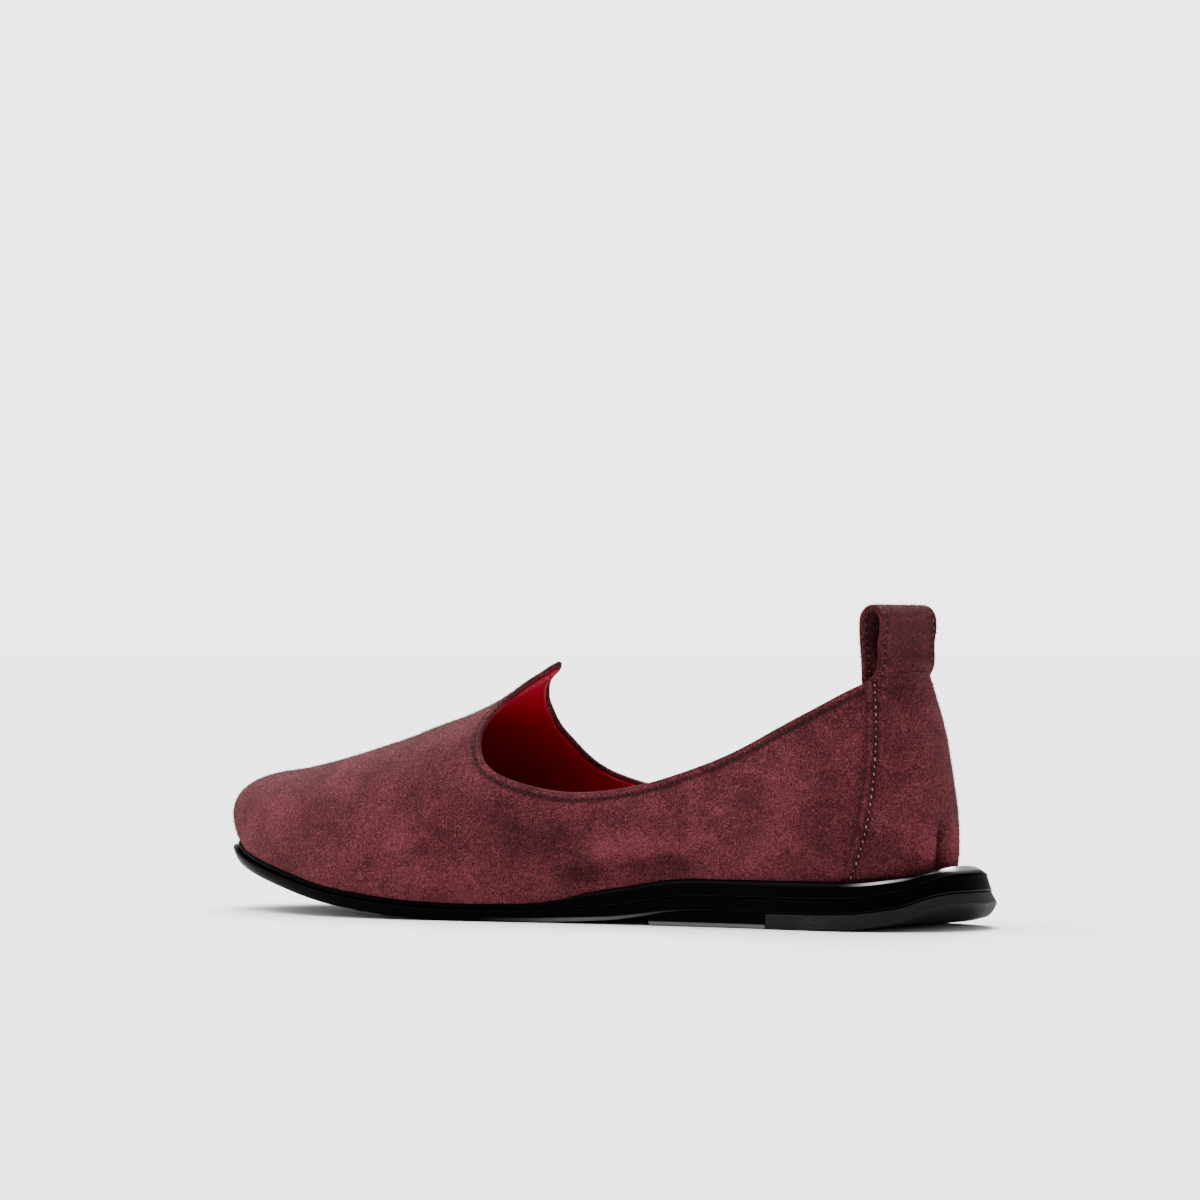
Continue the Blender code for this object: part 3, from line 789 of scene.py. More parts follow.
def curve_through(rows, steps):
    """A smooth curve through rows of numbers."""
    points = np.array(rows, float)
    padded = np.vstack([2 * points[0] - points[1], points, 2 * points[-1] - points[-2]])
    s = (np.arange(steps) / steps)[:, None]
    line = []
    for a, b, c, d in zip(padded, padded[1:], padded[2:], padded[3:]):
        bow = (2 * a - 5 * b + 4 * c - d) * s * s + (3 * b - a - 3 * c + d) * s**3
        line.append(0.5 * (2 * b + (c - a) * s + bow))
    return np.vstack([*line, points[-1:]])


topline = curve_through(
    [(HEEL_BACK_Y - row.along * LAST_LENGTH, BACK_HEIGHT * row.back + TONGUE_HEIGHT * row.tongue)
     for row in TOPLINE],
    TOPLINE_STEPS,
)


def below_topline(points):
    """Distance to the shoe's top edge seen from the side; below zero above the edge."""
    y, z = points[:, 1], points[:, 2]
    near = np.full(len(points), 1.0)
    for a, b in zip(topline, topline[1:]):
        run = b - a
        share = np.clip(((y - a[0]) * run[0] + (z - a[1]) * run[1]) / (run @ run), 0.0, 1.0)
        near = np.minimum(near, np.hypot(y - a[0] - share * run[0], z - a[1] - share * run[1]))
    roof = 3 * BACK_HEIGHT
    block = np.vstack([topline, (topline[-1][0], roof), (topline[0][0], roof)])
    inside = np.zeros(len(points), bool)
    for a, b in zip(block, np.roll(block, -1, axis=0)):
        crosses = (a[1] > z) != (b[1] > z)
        level = np.where(crosses, z, a[1])
        rise = b[1] - a[1] if b[1] != a[1] else 1.0
        inside ^= crosses & (y < a[0] + (level - a[1]) / rise * (b[0] - a[0]))
    return np.where(inside, -near, near)


def soft_give(points):
    """How far the soft wall stands out of the last, or lies in, at points of it."""
    along = along_of(points[:, 1])
    up = points[:, 2] / BACK_HEIGHT
    given = np.zeros(len(points))
    for fold in FOLDS:
        reach = LAST_LENGTH if fold.side else BALL_WIDTH
        start = np.array([fold.start_along * reach, fold.start_up * BACK_HEIGHT])
        run = np.array([fold.end_along * reach, fold.end_up * BACK_HEIGHT]) - start
        across = along * LAST_LENGTH if fold.side else points[:, 0]
        place = np.stack([across, up * BACK_HEIGHT], axis=1) - start
        share = np.clip(place @ run / (run @ run), 0.0, 1.0)
        away = np.linalg.norm(place - share[:, None] * run, axis=1)
        taper = np.sin(math.pi * (0.12 + 0.76 * share))
        faces = points[:, 0] * fold.side > 0 if fold.side else along < HEEL_FOLDS_END
        given += faces * fold.depth * taper * hump(away, 0.0, fold.width)
    waves = [
        noise.noise(Vector(p) * BROAD_WAVES) + 0.5 * noise.noise(Vector(p) * FINE_WAVES + WAVE_SHIFT)
        for p in points
    ]
    return given + UNDULATION * np.array(waves)


def mesh_grid(points, closed):
    """A mesh from a grid of points, rows joined to rows."""
    rows, steps = points.shape[:2]
    work = bmesh.new()
    verts = [work.verts.new(p) for p in points.reshape(-1, 3)]
    for k in range(rows if closed else rows - 1):
        for j in range(steps - 1):
            ahead = (k + 1) % rows
            work.faces.new((
                verts[k * steps + j], verts[ahead * steps + j],
                verts[ahead * steps + j + 1], verts[k * steps + j + 1],
            ))
    return work


def tag_points(work, label, values):
    """Gives the points of a mesh a number each, and returns its layer."""
    layer = work.verts.layers.float.new(label)
    for vert, value in zip(work.verts, values):
        vert[layer] = value
    return layer


def split_at(work, tag, level):
    """Cuts a mesh's faces along a level of a number that its points carry."""
    for edge in list(work.edges):
        a, b = edge.verts
        above, below = a[tag] - level, b[tag] - level
        if above * below >= 0:
            continue
        share = above / (above - below)
        if share < NEAR_POINT:
            a.co = a.co.lerp(b.co, share)
            a[tag] = level
        elif share > 1 - NEAR_POINT:
            b.co = b.co.lerp(a.co, 1 - share)
            b[tag] = level
        else:
            fresh = bmesh.utils.edge_split(edge, a, share)[1]
            fresh[tag] = level
    waiting = list(work.faces)
    while waiting:
        face = waiting.pop()
        around = [(vert, round((vert[tag] - level) * 1e8)) for vert in face.verts]
        if not (any(side < 0 for _, side in around) and any(side > 0 for _, side in around)):
            continue
        on_line = [k for k, (_, side) in enumerate(around) if side == 0]
        for first, second in zip(on_line, on_line[1:] + on_line[:1]):
            if (second - first) % len(around) > 1 and (first - second) % len(around) > 1:
                fresh = bmesh.utils.face_split(face, around[first][0], around[second][0])[0]
                waiting += [face, fresh]
                break


def trim_to_topline(work):
    """Cuts a sheet off along the shoe's top edge, and rings it with lines below that edge."""
    tag = tag_points(work, "rim", below_topline(np.array([v.co for v in work.verts])))
    split_at(work, tag, 0.0)
    above = [face for face in work.faces if min(v[tag] for v in face.verts) < -ON_LEVEL]
    bmesh.ops.delete(work, geom=above, context="FACES")
    edge_points = []
    for edge in work.edges:
        if edge.is_boundary and all(abs(v[tag]) < ON_LEVEL for v in edge.verts):
            a, b = edge.verts
            pieces = max(1, math.ceil(edge.calc_length() / RIM_SPACING))
            edge_points += [a.co.lerp(b.co, k / pieces) for k in range(pieces + 1)]
    tree = kdtree.KDTree(len(edge_points))
    for k, point in enumerate(edge_points):
        tree.insert(point, k)
    tree.balance()
    for vert in work.verts:
        vert[tag] = 0.0 if abs(vert[tag]) < ON_LEVEL else max(tree.find(vert.co)[2], 2 * ON_LEVEL)
    for level in RIM_LEVELS:
        split_at(work, tag, level)


def bullnose(distance, radius):
    """0 at a rounded edge and 1 from its radius inwards."""
    return np.sqrt(1 - (1 - np.clip(distance / radius, 0.0, 1.0)) ** 2)


class Sheet:
    """A sheet's middle mesh as plain points, normals, faces and tags, ready for its walls."""

    def __init__(self, work, labels):
        work.normal_update()
        work.verts.ensure_lookup_table()
        for k, vert in enumerate(work.verts):
            vert.index = k
        self.points = np.array([v.co for v in work.verts])
        self.normals = np.array([v.normal for v in work.verts])
        self.faces = [tuple(v.index for v in f.verts) for f in work.faces]
        self.tags = {}
        for label in labels:
            layer = work.verts.layers.float[label]
            self.tags[label] = np.array([v[layer] for v in work.verts])
        self.edges = [tuple(v.index for v in e.verts) for e in work.edges]

    def give_way(self, work):
        """Moves the points by the soft give of the wall and takes the normals again."""
        self.points = self.points + self.normals * soft_give(self.points)[:, None]
        for vert, point in zip(work.verts, self.points):
            vert.co = point
        work.normal_update()
        self.normals = np.array([v.normal for v in work.verts])

    def walls(self, name, outer, inner, finish, keep=None):
        """A closed piece between two offsets along the normals."""
        faces = self.faces
        if keep is not None:
            faces = [face for face in faces if all(keep[k] for k in face)]
        count = len(self.points)
        sides = {}
        for face in faces:
            for a, b in zip(face, face[1:] + face[:1]):
                if (b, a) in sides:
                    del sides[(b, a)]
                else:
                    sides[(a, b)] = True
        skin = self.points + self.normals * outer[:, None]
        back = self.points + self.normals * inner[:, None]
        every = [*faces, *[tuple(k + count for k in face[::-1]) for face in faces]]
        every += [(b, a, a + count, b + count) for a, b in sides]
        used = sorted({k for face in every for k in face})
        renumber = {k: n for n, k in enumerate(used)}
        points = np.vstack([skin, back])[used]
        tags = {label: np.tile(values, 2)[used] for label, values in self.tags.items()}
        tags["nap"] = np.repeat([1.0, 0.0], count)[used]
        made = object_from(name, points, [tuple(renumber[k] for k in f) for f in every], finish, tags)
        smooth(made, WALL_CORNER_DEGREES)
        return made

    def path_at(self, label, level, lift):
        """The points on a level of a tag, joined in order, lifted along the normals."""
        on_line = np.abs(self.tags[label] - level) < ON_LEVEL
        links = {}
        for a, b in self.edges:
            if on_line[a] and on_line[b]:
                links.setdefault(a, []).append(b)
                links.setdefault(b, []).append(a)
        paths = []
        while links:
            loose = [k for k, near in links.items() if len(near) == 1]
            path = [min(loose) if loose else min(links)]
            while True:
                ahead = links.pop(path[-1])
                free = [k for k in ahead if k in links]
                if not free:
                    break
                path.append(free[0])
            if len(path) > SHORT_PATH:
                order = np.array(path)
                places = self.points[order] + self.normals[order] * lift
                paths.append((places, self.normals[order]))
        return paths


def sheet_from(work, labels, axis):
    """A mesh's sheet, cut off along the top edge if it has a rim, with its faces outwards:
    the point that is furthest along an axis has to look that way.
    """
    bmesh.ops.recalc_face_normals(work, faces=work.faces)
    if "rim" in labels:
        trim_to_topline(work)
    sheet = Sheet(work, labels)
    if sheet.normals[np.argmax(sheet.points[:, axis])][axis] < 0:
        bmesh.ops.reverse_faces(work, faces=work.faces)
        sheet = Sheet(work, labels)
    return sheet


turns = np.linspace(-math.pi, math.pi, RIBS + 1)[:-1, None]
climbs = np.linspace(0.0, 1.0, RIB_STEPS + 1)[None, :]
upper_work = mesh_grid(last_point(turns, climbs), True)
bmesh.ops.remove_doubles(upper_work, verts=upper_work.verts, dist=MERGE_DISTANCE)
upper_sheet = sheet_from(upper_work, ["rim"], 0)
upper_sheet.give_way(upper_work)
rim = upper_sheet.tags["rim"]

# Suede: dusty maroon, paler where the nap is brushed one way and darker the other.
MAROON_DARK = colour(0.0150, 0.0025, 0.0039)
MAROON = colour(0.0620, 0.0112, 0.0156)
MAROON_PALE = colour(0.2050, 0.0460, 0.0580)


def suede_material(name, shade):
    """Suede with a nap: shade below 1 darkens the whole piece, a painted shade for pieces turned away from
    the light.
    """
    made, place = start_material(name)
    patches = place.stretched(30, 30, 46).clouds(3.0, 0.55, 0.6)
    brushed = place.stretched(70, 90, 160).clouds(4.0, 0.6, 0.8)
    flecks = place.stretched(520, 520, 620).clouds(3.0, 0.65)
    nap = place.stretched(1750, 1750, 1950).clouds(3.0, 0.8).between(0.25, 0.75)
    edge = place.tag("rim")
    # The seam tag carries painted shade and light: darker in stitch grooves, in the folds' troughs and along
    # the stay's edges, and paler on the folds' ridges.
    seam = place.tag("seam")
    tone = patches * 0.60 + brushed * 0.40 + flecks * 0.35 + nap * 1.00 - 0.645
    # Painted shade: the suede darkens towards its rolled and folded edges.
    edge_painted_shade = 1 - edge.between(0.0, 0.0016)
    # A shade below 1 paints the whole piece darker, standing in for shade.
    tone = tone - edge_painted_shade * 0.10 - seam * 0.42 - (1 - shade)
    hue = tone.node("ShaderNodeValToRGB", {"stops": (
        (0.05, MAROON_DARK), (0.50, MAROON), (0.95, MAROON_PALE),
    )}, {"Fac": tone})
    dress(made, {
        "Base Color": hue,
        "Roughness": 0.92,
        "Specular IOR Level": 0.08,
        "Sheen Weight": 0.03,
        "Sheen Roughness": 0.4,
        "Sheen Tint": colour(0.90, 0.45, 0.45),
        "Normal": (nap * 0.30 + flecks * 0.60 + brushed * 0.10).bumps(0.0008),
    })
    return made


suede_finish = suede_material("maroon_suede", 1.0)
upper_seam = hump(rim, SEAM_FROM_EDGE, SEAM_WIDTH)
turned_edge = TURNED_EDGE * hump(rim, TURNED_EDGE_PLACE, TURNED_EDGE_WIDTH)
# Painted shade and light: the seam tag darkens the suede along the stitch groove and in the folds' troughs,
# and paints it paler on their ridges.
upper_crease_painted_light = np.clip(-soft_give(upper_sheet.points) / CREASE_SHADE, *CREASE_PAINTED_LIGHT)
upper_sheet.tags["seam"] = upper_seam + upper_crease_painted_light
suede_upper = upper_sheet.walls(
    "suede_upper",
    RIM_ROUND * (bullnose(rim, RIM_ROUND) - 1) - SEAM_DEPTH * upper_seam + turned_edge,
    -SUEDE_THICKNESS - RIM_ROUND * (bullnose(rim, RIM_ROUND) - 1),
    suede_finish,
)
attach(suede_upper, "root")
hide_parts("upper")


# The lining
# Thin bright red leather, cut like the suede and cemented inside it. It ends a little
# under the top edge and is sewn to the suede there.
LINING_START = 0.0015
LINING_ROUND = 0.00030
LINING_GLUE = 0.00005
LINING_SEAM_DEPTH = 0.0001
lining_rim = rim - LINING_START
lining_edge = LINING_ROUND * (1 - bullnose(lining_rim, LINING_ROUND))
red_lining = upper_sheet.walls(
    "red_lining",
    -SUEDE_THICKNESS - LINING_GLUE - lining_edge,
    -UPPER_WALL + lining_edge + LINING_SEAM_DEPTH * upper_seam,
    lining_finish,
    keep=lining_rim > -ON_LEVEL,
)
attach(red_lining, "root")


# The back stay
# A second layer of the same suede over the back seam, flaring towards the sole. Its
# edges are skived thin and it is sewn down just inside them with a pale thread.
STAY_THICKNESS = 0.0012
STAY_TOP_WIDTH = 0.038
STAY_BOTTOM_WIDTH = 0.070
STAY_FOOT = 0.0004
STAY_ROUND = 0.0010
STAY_SEAM = 0.0030
STAY_SEAM_WIDTH = 0.0007
STAY_SEAM_DEPTH = 0.00025
STAY_EDGE_SHADE = 0.0005
STAY_INSIDE = 0.0002
# Steps up the back rib, close together at the stay's foot.
STAY_FOOT_STEPS = (0.0, 0.002, 0.005, 0.010)
STAY_BODY = 0.018
STAY_ROWS = 110
# The limits of the stay's painted crease shade and painted crease light.
STAY_CREASE_PAINTED_LIGHT = (-0.5, 0.6)
LOOP_TUCK = 0.009
RIB_SAMPLES = 4001
HEEL_SAMPLES = 961
EDGE_STEPS = (0.0, 0.00012, 0.0003, 0.0006, 0.0010, 0.0016, 0.0023, 0.0030, 0.0037, 0.0045)
STAY_MIDDLE_STEPS = 44


def climb_at(level):
    """How far up the back rib a height is."""
    climbs = np.linspace(0.0, 1.0, RIB_SAMPLES)
    return float(np.interp(level, last_point(0.0 * climbs, climbs)[:, 2], climbs))


def turns_round_heel(reaches, climb):
    """Turns at distances along the surface from the middle of the heel."""
    widest = 0.4 * math.pi
    fine = np.linspace(-widest, widest, HEEL_SAMPLES)
    points = last_point(fine, np.full(HEEL_SAMPLES, climb))
    run = np.concatenate([[0.0], np.cumsum(np.linalg.norm(np.diff(points, axis=0), axis=1))])
    run -= run[HEEL_SAMPLES // 2]
    return np.interp(reaches, run, fine)


def strip_columns(half_width, middle_steps):
    """Distances across a strip from its middle, close together at its two edges."""
    near = half_width - np.array(EDGE_STEPS)
    middle = np.linspace(-near[-1], near[-1], middle_steps + 1)[1:-1]
    return np.concatenate([-near, middle, near[::-1]])


foot = climb_at(feather_level(HEEL_BACK_Y) + STAY_FOOT)
collar = climb_at(BACK_HEIGHT)
above_collar = climb_at(BACK_HEIGHT + LOOP_TUCK)


def stay_half(climb):
    """Half the stay's width at a place up the back rib."""
    share = np.clip((climb - foot) / (collar - foot), 0.0, 1.0)
    return 0.5 * (STAY_BOTTOM_WIDTH + (STAY_TOP_WIDTH - STAY_BOTTOM_WIDTH) * share)


stay_rows = []
stay_sides = []
stay_feet = []
stay_foot = foot + np.array(STAY_FOOT_STEPS)
for climb in [*stay_foot, *np.linspace(foot + STAY_BODY, above_collar, STAY_ROWS)]:
    across = strip_columns(stay_half(climb), STAY_MIDDLE_STEPS)
    stay_rows.append(last_point(turns_round_heel(across, climb), np.full(len(across), climb)))
    stay_sides.append(stay_half(climb) - np.abs(across))
    stay_feet.append(np.full(len(across), (climb - foot) * BACK_HEIGHT))
stay_work = mesh_grid(np.array(stay_rows), False)
tag_points(stay_work, "side", np.array(stay_sides).reshape(-1))
tag_points(stay_work, "foot", np.array(stay_feet).reshape(-1))
stay_sheet = sheet_from(stay_work, ["rim", "side", "foot"], 1)
stay_sheet.give_way(stay_work)
stay_edge = np.minimum(stay_sheet.tags["side"], stay_sheet.tags["foot"])
stay_rise = (STAY_THICKNESS + GAP) * bullnose(stay_edge, STAY_ROUND)
stay_rise -= RIM_ROUND * (1 - bullnose(stay_sheet.tags["rim"], RIM_ROUND))
stay_seam = hump(stay_sheet.tags["side"], STAY_SEAM, STAY_SEAM_WIDTH)
stay_rise -= STAY_SEAM_DEPTH * stay_seam
# Painted shade and light on the stay: darker in its folds' troughs and along the stitch grooves, paler on
# the ridges, with a painted shadow along its edges.
stay_crease_painted_light = np.clip(-soft_give(stay_sheet.points) / (2 * CREASE_SHADE), *STAY_CREASE_PAINTED_LIGHT)
stay_sheet.tags["seam"] = stay_seam + stay_crease_painted_light + hump(stay_edge, 0.0, STAY_EDGE_SHADE)
# The stay's suede is a copy painted a little darker, as shade on the back that faces away from the light.
stay_shaded_suede = suede_material("maroon_suede_stay_painted_shade", 0.97)
suede_stay = stay_sheet.walls("suede_stay", stay_rise, 0 * stay_rise - STAY_INSIDE, stay_shaded_suede)
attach(suede_stay, "root")
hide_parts("back_stay")


# The pull loop
# A folded suede strap, sewn along both edges. It comes out of the collar at the back,
# makes a finger's room and is sewn down over the head of the stay.
LOOP_WIDTH = 0.032
LOOP_HEIGHT = 0.0212
LOOP_DEPTH = 0.0095
LOOP_STRAP = 0.0018
LOOP_SEAM = 0.0023
LOOP_SEAM_WIDTH = 0.0006
LOOP_SEAM_DEPTH = 0.00022
LOOP_EDGE_SHADE = 0.0006
LOOP_SPREAD = 1.23
TUCK_ROWS = 8
LOOP_STEPS = 10
LOOP_MIDDLE_STEPS = 22

LoopRow = namedtuple("LoopRow", "up lean bend outside")
LOOP = [LoopRow(*row) for row in (
    # The strap's hole side, from inside the collar over the top to its outer foot.
    # up: share of the loop's height above the collar, lean: share of its depth in front
    # of the collar's back, bend: how far it follows the collar's curve,
    # outside: 0 for the leg inside the collar, 1 for the leg outside it. The outer leg
    # leans in against the inner one and then goes down between the stay and the wall.
    (0.00, 1.00, 1.00, 0.0),
    (0.18, 0.98, 0.55, 0.0),
    (0.42, 1.00, 0.12, 0.0),
    (0.66, 1.02, 0.01, 0.0),
    (0.83, 0.97, 0.00, 0.2),
    (0.915, 0.72, 0.00, 0.5),
    (0.84, 0.47, 0.00, 0.8),
    (0.66, 0.42, 0.00, 1.0),
    (0.44, 0.48, 0.03, 0.95),
    (0.24, 0.43, 0.10, 0.80),
    (0.08, 0.26, 0.42, 0.68),
    (-0.04, 0.16, 0.86, 0.58),
    (-0.20, 0.20, 1.00, 0.48),
)]


def topline_level(y):
    """Height of the collar's edge near the heel, where it only falls towards the toe."""
    heel = topline[: 4 * TOPLINE_STEPS]
    return np.interp(-y, -heel[:, 0], heel[:, 1])


loop_across = strip_columns(0.5 * LOOP_WIDTH, LOOP_MIDDLE_STEPS)
loop_turns = turns_round_heel(loop_across * LOOP_SPREAD, collar)


def beside_wall(climb, distance):
    """A row of the strap's points beside the wall, at a place up the back rib."""
    climbs = np.full(len(loop_turns), climb)
    return last_point(loop_turns, climbs) + last_normal(loop_turns, climbs) * distance


loop_rows = [
    beside_wall(climb_at(BACK_HEIGHT - LOOP_TUCK * (1 - k / TUCK_ROWS)), INSIDE_WALL)
    for k in range(TUCK_ROWS)
]
loop_inner = beside_wall(collar, INSIDE_WALL)
loop_outer = beside_wall(collar, GAP)
loop_levels = topline_level(loop_outer[:, 1] + STAY_THICKNESS)
back = last_point(np.zeros(1), np.full(1, collar))[0]
for up, lean, bend, outside in curve_through(LOOP, LOOP_STEPS):
    curved = loop_inner * (1 - outside) + loop_outer * outside
    straight = np.stack([
        loop_across + back[0],
        np.full(len(loop_across), back[1] - lean * LOOP_DEPTH),
        np.zeros(len(loop_across)),
    ], axis=1)
    points = curved * bend + straight * (1 - bend)
    points[:, 2] = loop_levels * bend + BACK_HEIGHT * (1 - bend) + up * LOOP_HEIGHT
    loop_rows.append(points)
loop_grid = np.array(loop_rows)
loop_work = mesh_grid(loop_grid, False)
tag_points(loop_work, "side", np.tile(0.5 * LOOP_WIDTH - np.abs(loop_across), len(loop_grid)))
loop_sheet = sheet_from(loop_work, ["side"], 2)
loop_side = loop_sheet.tags["side"]
half_strap = 0.5 * LOOP_STRAP
loop_fold = half_strap * bullnose(loop_side, half_strap)
loop_seam = hump(loop_side, LOOP_SEAM, LOOP_SEAM_WIDTH)
loop_fold -= LOOP_SEAM_DEPTH * loop_seam
# Painted shade on the loop: its rim tag darkens the suede near the folded edges, and its seam tag darkens it
# along the stitch grooves.
loop_sheet.tags["rim"] = loop_side + LOOP_EDGE_SHADE
loop_sheet.tags["seam"] = loop_seam
# The loop's suede is a copy painted darker, as shade on a piece turned away from the light.
loop_shaded_suede = suede_material("maroon_suede_loop_painted_shade", 0.89)
suede_pull = loop_sheet.walls("suede_pull", half_strap + loop_fold, half_strap - loop_fold, loop_shaded_suede)
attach(suede_pull, "root")
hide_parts("pull_loop")


# The stitching
# Dark maroon thread runs round under the top edge, red on the lining's side, and across
# the head of the stay. A pale one runs down both sides of the stay, and a worn one along
# both edges of the loop.
STITCH_SEED = 11
EASING_ROUNDS = 3
THREAD_LIFT = 0.00005
THREAD_SINK = 0.0001
THREAD_FLATNESS = 0.7
HEAD_SEAM = RIM_LEVELS[5]
STAY_STITCH_START = 0.01
STAY_STITCH_END = 0.0015
STAY_LINE_STEPS = 90
COLUMN_STEP = 0.001
LOOP_TOP_ROW = 5
LOOP_UNSEWN_ROWS = 1.5
Stitch = namedtuple("Stitch", "pitch length width lean")
TOPLINE_STITCH = Stitch(0.0026, 0.0019, 0.00060, 0.10)
LINING_STITCH = Stitch(0.0026, 0.0018, 0.00050, 0.10)
HEAD_STITCH = Stitch(0.0019, 0.0011, 0.00055, 0.10)
STAY_STITCH = Stitch(0.0023, 0.0011, 0.00042, 0.20)
LOOP_STITCH = Stitch(0.0023, 0.0010, 0.00036, 0.15)


def group_inputs(tree, inputs):
    """Declares a Geometry Nodes tree's named inputs and gives them as wires."""
    tree.interface.new_socket("Geometry", in_out="OUTPUT", socket_type="NodeSocketGeometry")
    tree.interface.new_socket("Geometry", in_out="INPUT", socket_type="NodeSocketGeometry")
    for label, kind in inputs:
        tree.interface.new_socket(label, in_out="INPUT", socket_type=f"NodeSocket{kind}")
    entry = tree.nodes.new("NodeGroupInput")
    return [Wire(tree, socket) for socket in entry.outputs if socket.name]


def finish_tree(shapes, material):
    """Ends a tree: instances made real, smooth and in their finish."""
    real = shapes.node("GeometryNodeRealizeInstances", {}, {"Geometry": shapes})
    shaded = real.node("GeometryNodeSetShadeSmooth", {}, {"Geometry": real})
    dyed = shaded.node("GeometryNodeSetMaterial", {}, {"Geometry": shaded, "Material": material})
    exit_node = shapes.tree.nodes.new("NodeGroupOutput")
    shapes.tree.links.new(dyed.socket, exit_node.inputs[0])


def grow(made, tree, values):
    """Runs a tree on an object and keeps the result as its plain mesh."""
    live = made.modifiers.new(tree.name, "NODES")
    live.node_group = tree
    for item in tree.interface.items_tree:
        if item.in_out == "INPUT" and item.name in values:
            live[item.identifier] = values[item.name]
    graph = bpy.context.evaluated_depsgraph_get()
    plain = bpy.data.meshes.new_from_object(made.evaluated_get(graph), depsgraph=graph)
    made.modifiers.remove(live)
    made.data = plain


stitch_tree = bpy.data.node_groups.new("stitch_row", "GeometryNodeTree")
path, pitch, length, width, height, lean, thread = group_inputs(stitch_tree, (
    ("Pitch", "Float"), ("Length", "Float"), ("Width", "Float"), ("Height", "Float"), ("Lean", "Float"),
    ("Thread", "Material"),
))
line = path.node("GeometryNodeMeshToCurve", {}, {"Mesh": path})
even = line.node("GeometryNodeResampleCurve", {"mode": "LENGTH"}, {"Curve": line, "Length": pitch})
tangent = path.node("GeometryNodeInputTangent")
away = path.node("GeometryNodeInputNamedAttribute", {"data_type": "FLOAT_VECTOR"}, {"Name": "away"})
along_path = path.node("FunctionNodeAlignRotationToVector", {"axis": "X"}, {"Vector": tangent})
upright = path.node(
    "FunctionNodeAlignRotationToVector", {"axis": "Z", "pivot_axis": "X"},
    {"Rotation": along_path, "Vector": away},
)
wobble = path.chance(-0.09, 0.09, STITCH_SEED)
twist = path.node("ShaderNodeCombineXYZ", {}, {"Z": lean + wobble})
by = path.node("FunctionNodeEulerToRotation", {}, {"Euler": twist})
slanted = path.node(
    "FunctionNodeRotateRotation", {"rotation_space": "LOCAL"}, {"Rotation": upright, "Rotate By": by},
)
swell = path.chance(0.70, 1.15, STITCH_SEED + 1)
size = path.node("ShaderNodeCombineXYZ", {}, {"X": length * swell, "Y": width * swell, "Z": height})
bead = path.node("GeometryNodeMeshUVSphere", {}, {"Segments": 8, "Rings": 6, "Radius": 0.5})
finish_tree(path.node("GeometryNodeInstanceOnPoints", {}, {
    "Points": even, "Instance": bead, "Rotation": slanted, "Scale": size,
}), thread)


def thread_material(name, dark, pale):
    """Waxed thread: twisted, a little uneven in colour."""
    made, place = start_material(name)
    strands = place.stretched(1400, 1400, 1400).clouds(2.0, 0.6)
    dress(made, {
        "Base Color": strands.blend(dark, pale),
        "Roughness": 0.55 + strands * 0.2,
        "Normal": strands.bumps(0.0001),
        "Specular IOR Level": 0.15,
    })
    return made


dark_thread = thread_material("dark_thread", colour(0.004, 0.0015, 0.002), colour(0.028, 0.010, 0.011))
pale_thread = thread_material("pale_thread", colour(0.13, 0.075, 0.07), colour(0.36, 0.25, 0.23))
worn_thread = thread_material("worn_thread", colour(0.07, 0.033, 0.033), colour(0.22, 0.14, 0.13))
red_thread = thread_material("red_thread", colour(0.10, 0.002, 0.006), colour(0.30, 0.010, 0.020))


def sew(name, paths, stitch, thread):
    """Stitches along paths of points with their normals."""
    points = np.vstack([path[0] for path in paths])
    normals = np.vstack([path[1] for path in paths])
    edges = []
    start = 0
    for path in paths:
        edges += [(start + k, start + k + 1) for k in range(len(path[0]) - 1)]
        start += len(path[0])
    mesh = bpy.data.meshes.new(name)
    mesh.from_pydata([tuple(p) for p in points], edges, [])
    layer = mesh.attributes.new("away", "FLOAT_VECTOR", "POINT")
    layer.data.foreach_set("vector", normals.reshape(-1))
    made = put_in(name, mesh)
    grow(made, stitch_tree, {
        "Pitch": stitch.pitch, "Length": stitch.length, "Width": stitch.width,
        "Height": THREAD_FLATNESS * stitch.width, "Lean": stitch.lean, "Thread": thread,
    })
    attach(made, "root")


def eased(paths):
    """Paths with their kinks eased out."""
    for places, _ in paths:
        for _ in range(EASING_ROUNDS):
            places[1:-1] = 0.25 * places[:-2] + 0.5 * places[1:-1] + 0.25 * places[2:]
    return paths


topline_path = upper_sheet.path_at("rim", SEAM_FROM_EDGE, THREAD_LIFT)
sew("topline_thread", eased(topline_path), TOPLINE_STITCH, dark_thread)
lining_path = upper_sheet.path_at("rim", SEAM_FROM_EDGE, -UPPER_WALL - THREAD_LIFT)
sew("lining_thread", eased(lining_path), LINING_STITCH, red_thread)
head_path = stay_sheet.path_at("rim", HEAD_SEAM, STAY_THICKNESS + GAP - THREAD_SINK)
sew("head_thread", eased(head_path), HEAD_STITCH, dark_thread)


def column_normals(before, middle, after):
    """Normals along the middle one of three columns of a grid."""
    return unit(np.cross(np.gradient(middle, axis=0), after - before))


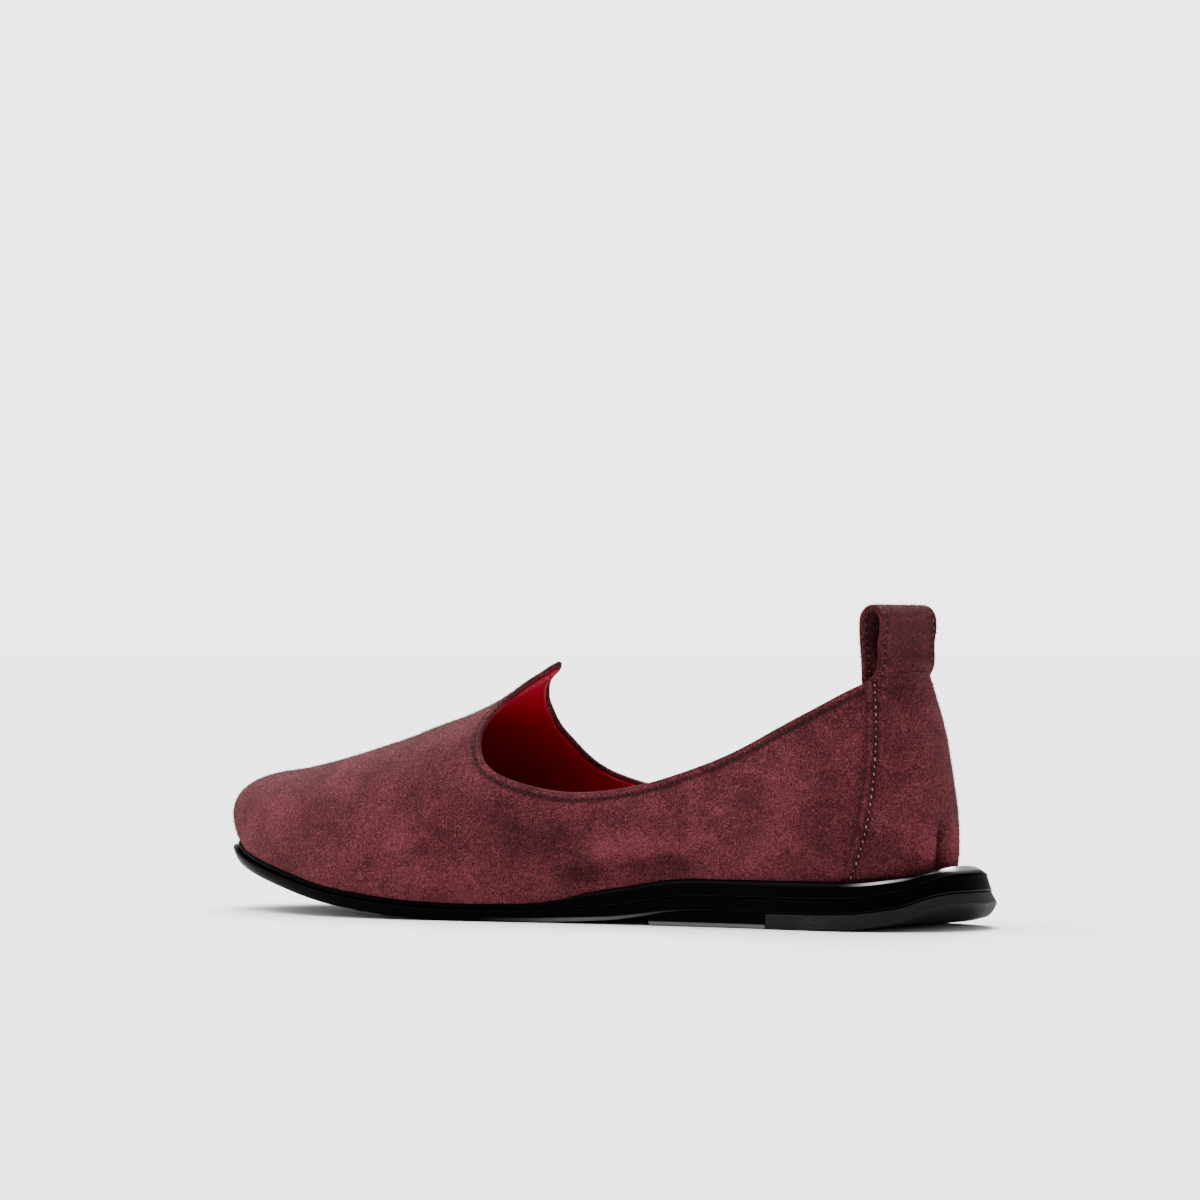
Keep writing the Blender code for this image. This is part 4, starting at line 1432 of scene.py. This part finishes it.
stay_lines = []
stay_climbs = np.linspace(foot + STAY_STITCH_START, climb_at(BACK_HEIGHT - STAY_STITCH_END), STAY_LINE_STEPS)
for side in (1, -1):
    columns = []
    for step in (-COLUMN_STEP, 0.0, COLUMN_STEP):
        reaches = side * (stay_half(stay_climbs) - STAY_SEAM) + step
        column = [turns_round_heel([reach], climb)[0] for reach, climb in zip(reaches, stay_climbs)]
        columns.append(last_point(np.array(column), stay_climbs))
    places = columns[1]
    normals = column_normals(*columns)
    if normals[0][1] < 0:
        normals = -normals
    lift = STAY_THICKNESS + GAP - 2 * THREAD_SINK + soft_give(places)
    stay_lines.append((places + normals * lift[:, None], normals))
sew("stay_thread", stay_lines, STAY_STITCH, pale_thread)

loop_lines = []
seam_column = int(np.argmin(np.abs(loop_across + 0.5 * LOOP_WIDTH - LOOP_SEAM)))
last_column = loop_grid.shape[1] - 1
for seam in (seam_column, last_column - seam_column):
    columns = [loop_grid[:, seam + step] for step in (-1, 0, 1)]
    places = columns[1]
    normals = column_normals(*columns)
    if normals[TUCK_ROWS + LOOP_TOP_ROW * LOOP_STEPS][2] < 0:
        normals = -normals
    sewn = slice(TUCK_ROWS, len(places) - int(LOOP_UNSEWN_ROWS * LOOP_STEPS))
    loop_lines.append((places[sewn] + normals[sewn] * (LOOP_STRAP - THREAD_SINK), normals[sewn]))
    loop_lines.append((places[sewn] + normals[sewn] * THREAD_SINK, -normals[sewn]))
sew("loop_thread", loop_lines, LOOP_STITCH, worn_thread)


# The nap
# Short fibres that stand up all over the suede, raised from the hide with a sanding
# wheel. They show as grain and along the outline.
NAP_LENGTH = 0.00085
NAP_WIDTH = 0.00007
NAPS = (
    # name, piece, fibres to the square metre, seed
    ("upper_nap", suede_upper, 1100000.0, 3),
    ("stay_nap", suede_stay, 1300000.0, 4),
    ("loop_nap", suede_pull, 1800000.0, 5),
)

nap_tree = bpy.data.node_groups.new("nap", "GeometryNodeTree")
skin, density, length, width, seed, fibre = group_inputs(nap_tree, (
    ("Density", "Float"), ("Length", "Float"), ("Width", "Float"), ("Seed", "Int"), ("Fibre", "Material"),
))
outside = skin.node("GeometryNodeInputNamedAttribute", {"data_type": "FLOAT"}, {"Name": "nap"})
bare = skin.node("FunctionNodeCompare", {"operation": "LESS_THAN"}, {0: outside, 1: 0.99})
shown = skin.node("GeometryNodeDeleteGeometry", {"domain": "FACE"}, {"Geometry": skin, "Selection": bare})
scatter = shown.tree.nodes.new("GeometryNodeDistributePointsOnFaces")
nap_tree.links.new(shown.socket, scatter.inputs["Mesh"])
nap_tree.links.new(density.socket, scatter.inputs["Density"])
nap_tree.links.new(seed.socket, scatter.inputs["Seed"])
roots = Wire(nap_tree, scatter.outputs["Points"])
straight_up = Wire(nap_tree, scatter.outputs["Normal"])
tilt = skin.node(
    "FunctionNodeRandomValue", {"data_type": "FLOAT_VECTOR"},
    {0: (-0.9, -0.9, -0.9), 1: (0.9, 0.9, 0.5), "Seed": seed}, 0,
)
stand = skin.node("ShaderNodeVectorMath", {"operation": "ADD"}, {0: straight_up, 1: tilt})
turned = skin.node("FunctionNodeAlignRotationToVector", {"axis": "Z"}, {"Vector": stand})
vary = skin.chance(0.45, 1.25, seed)
spike = skin.node("GeometryNodeMeshCone", {"fill_type": "NGON"}, {
    "Vertices": 3, "Side Segments": 1, "Radius Top": 0.0, "Radius Bottom": width, "Depth": length,
})
finish_tree(skin.node("GeometryNodeInstanceOnPoints", {}, {
    "Points": roots, "Instance": spike, "Rotation": turned, "Scale": vary,
}), fibre)

nap_finish, place = start_material("nap_fibre")
tufts = place.stretched(1300, 1300, 1300).clouds(2.0, 0.7)
dress(nap_finish, {
    "Base Color": (tufts.between(0.35, 0.65) * 0.75).blend(MAROON_DARK, MAROON_PALE),
    "Roughness": 0.9,
    "Specular IOR Level": 0.05,
})


for name, piece, density, seed in NAPS:
    made = put_in(name, piece.data.copy())
    grow(made, nap_tree, {
        "Density": density, "Length": NAP_LENGTH, "Width": NAP_WIDTH, "Seed": seed, "Fibre": nap_finish,
    })
    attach(made, "root")
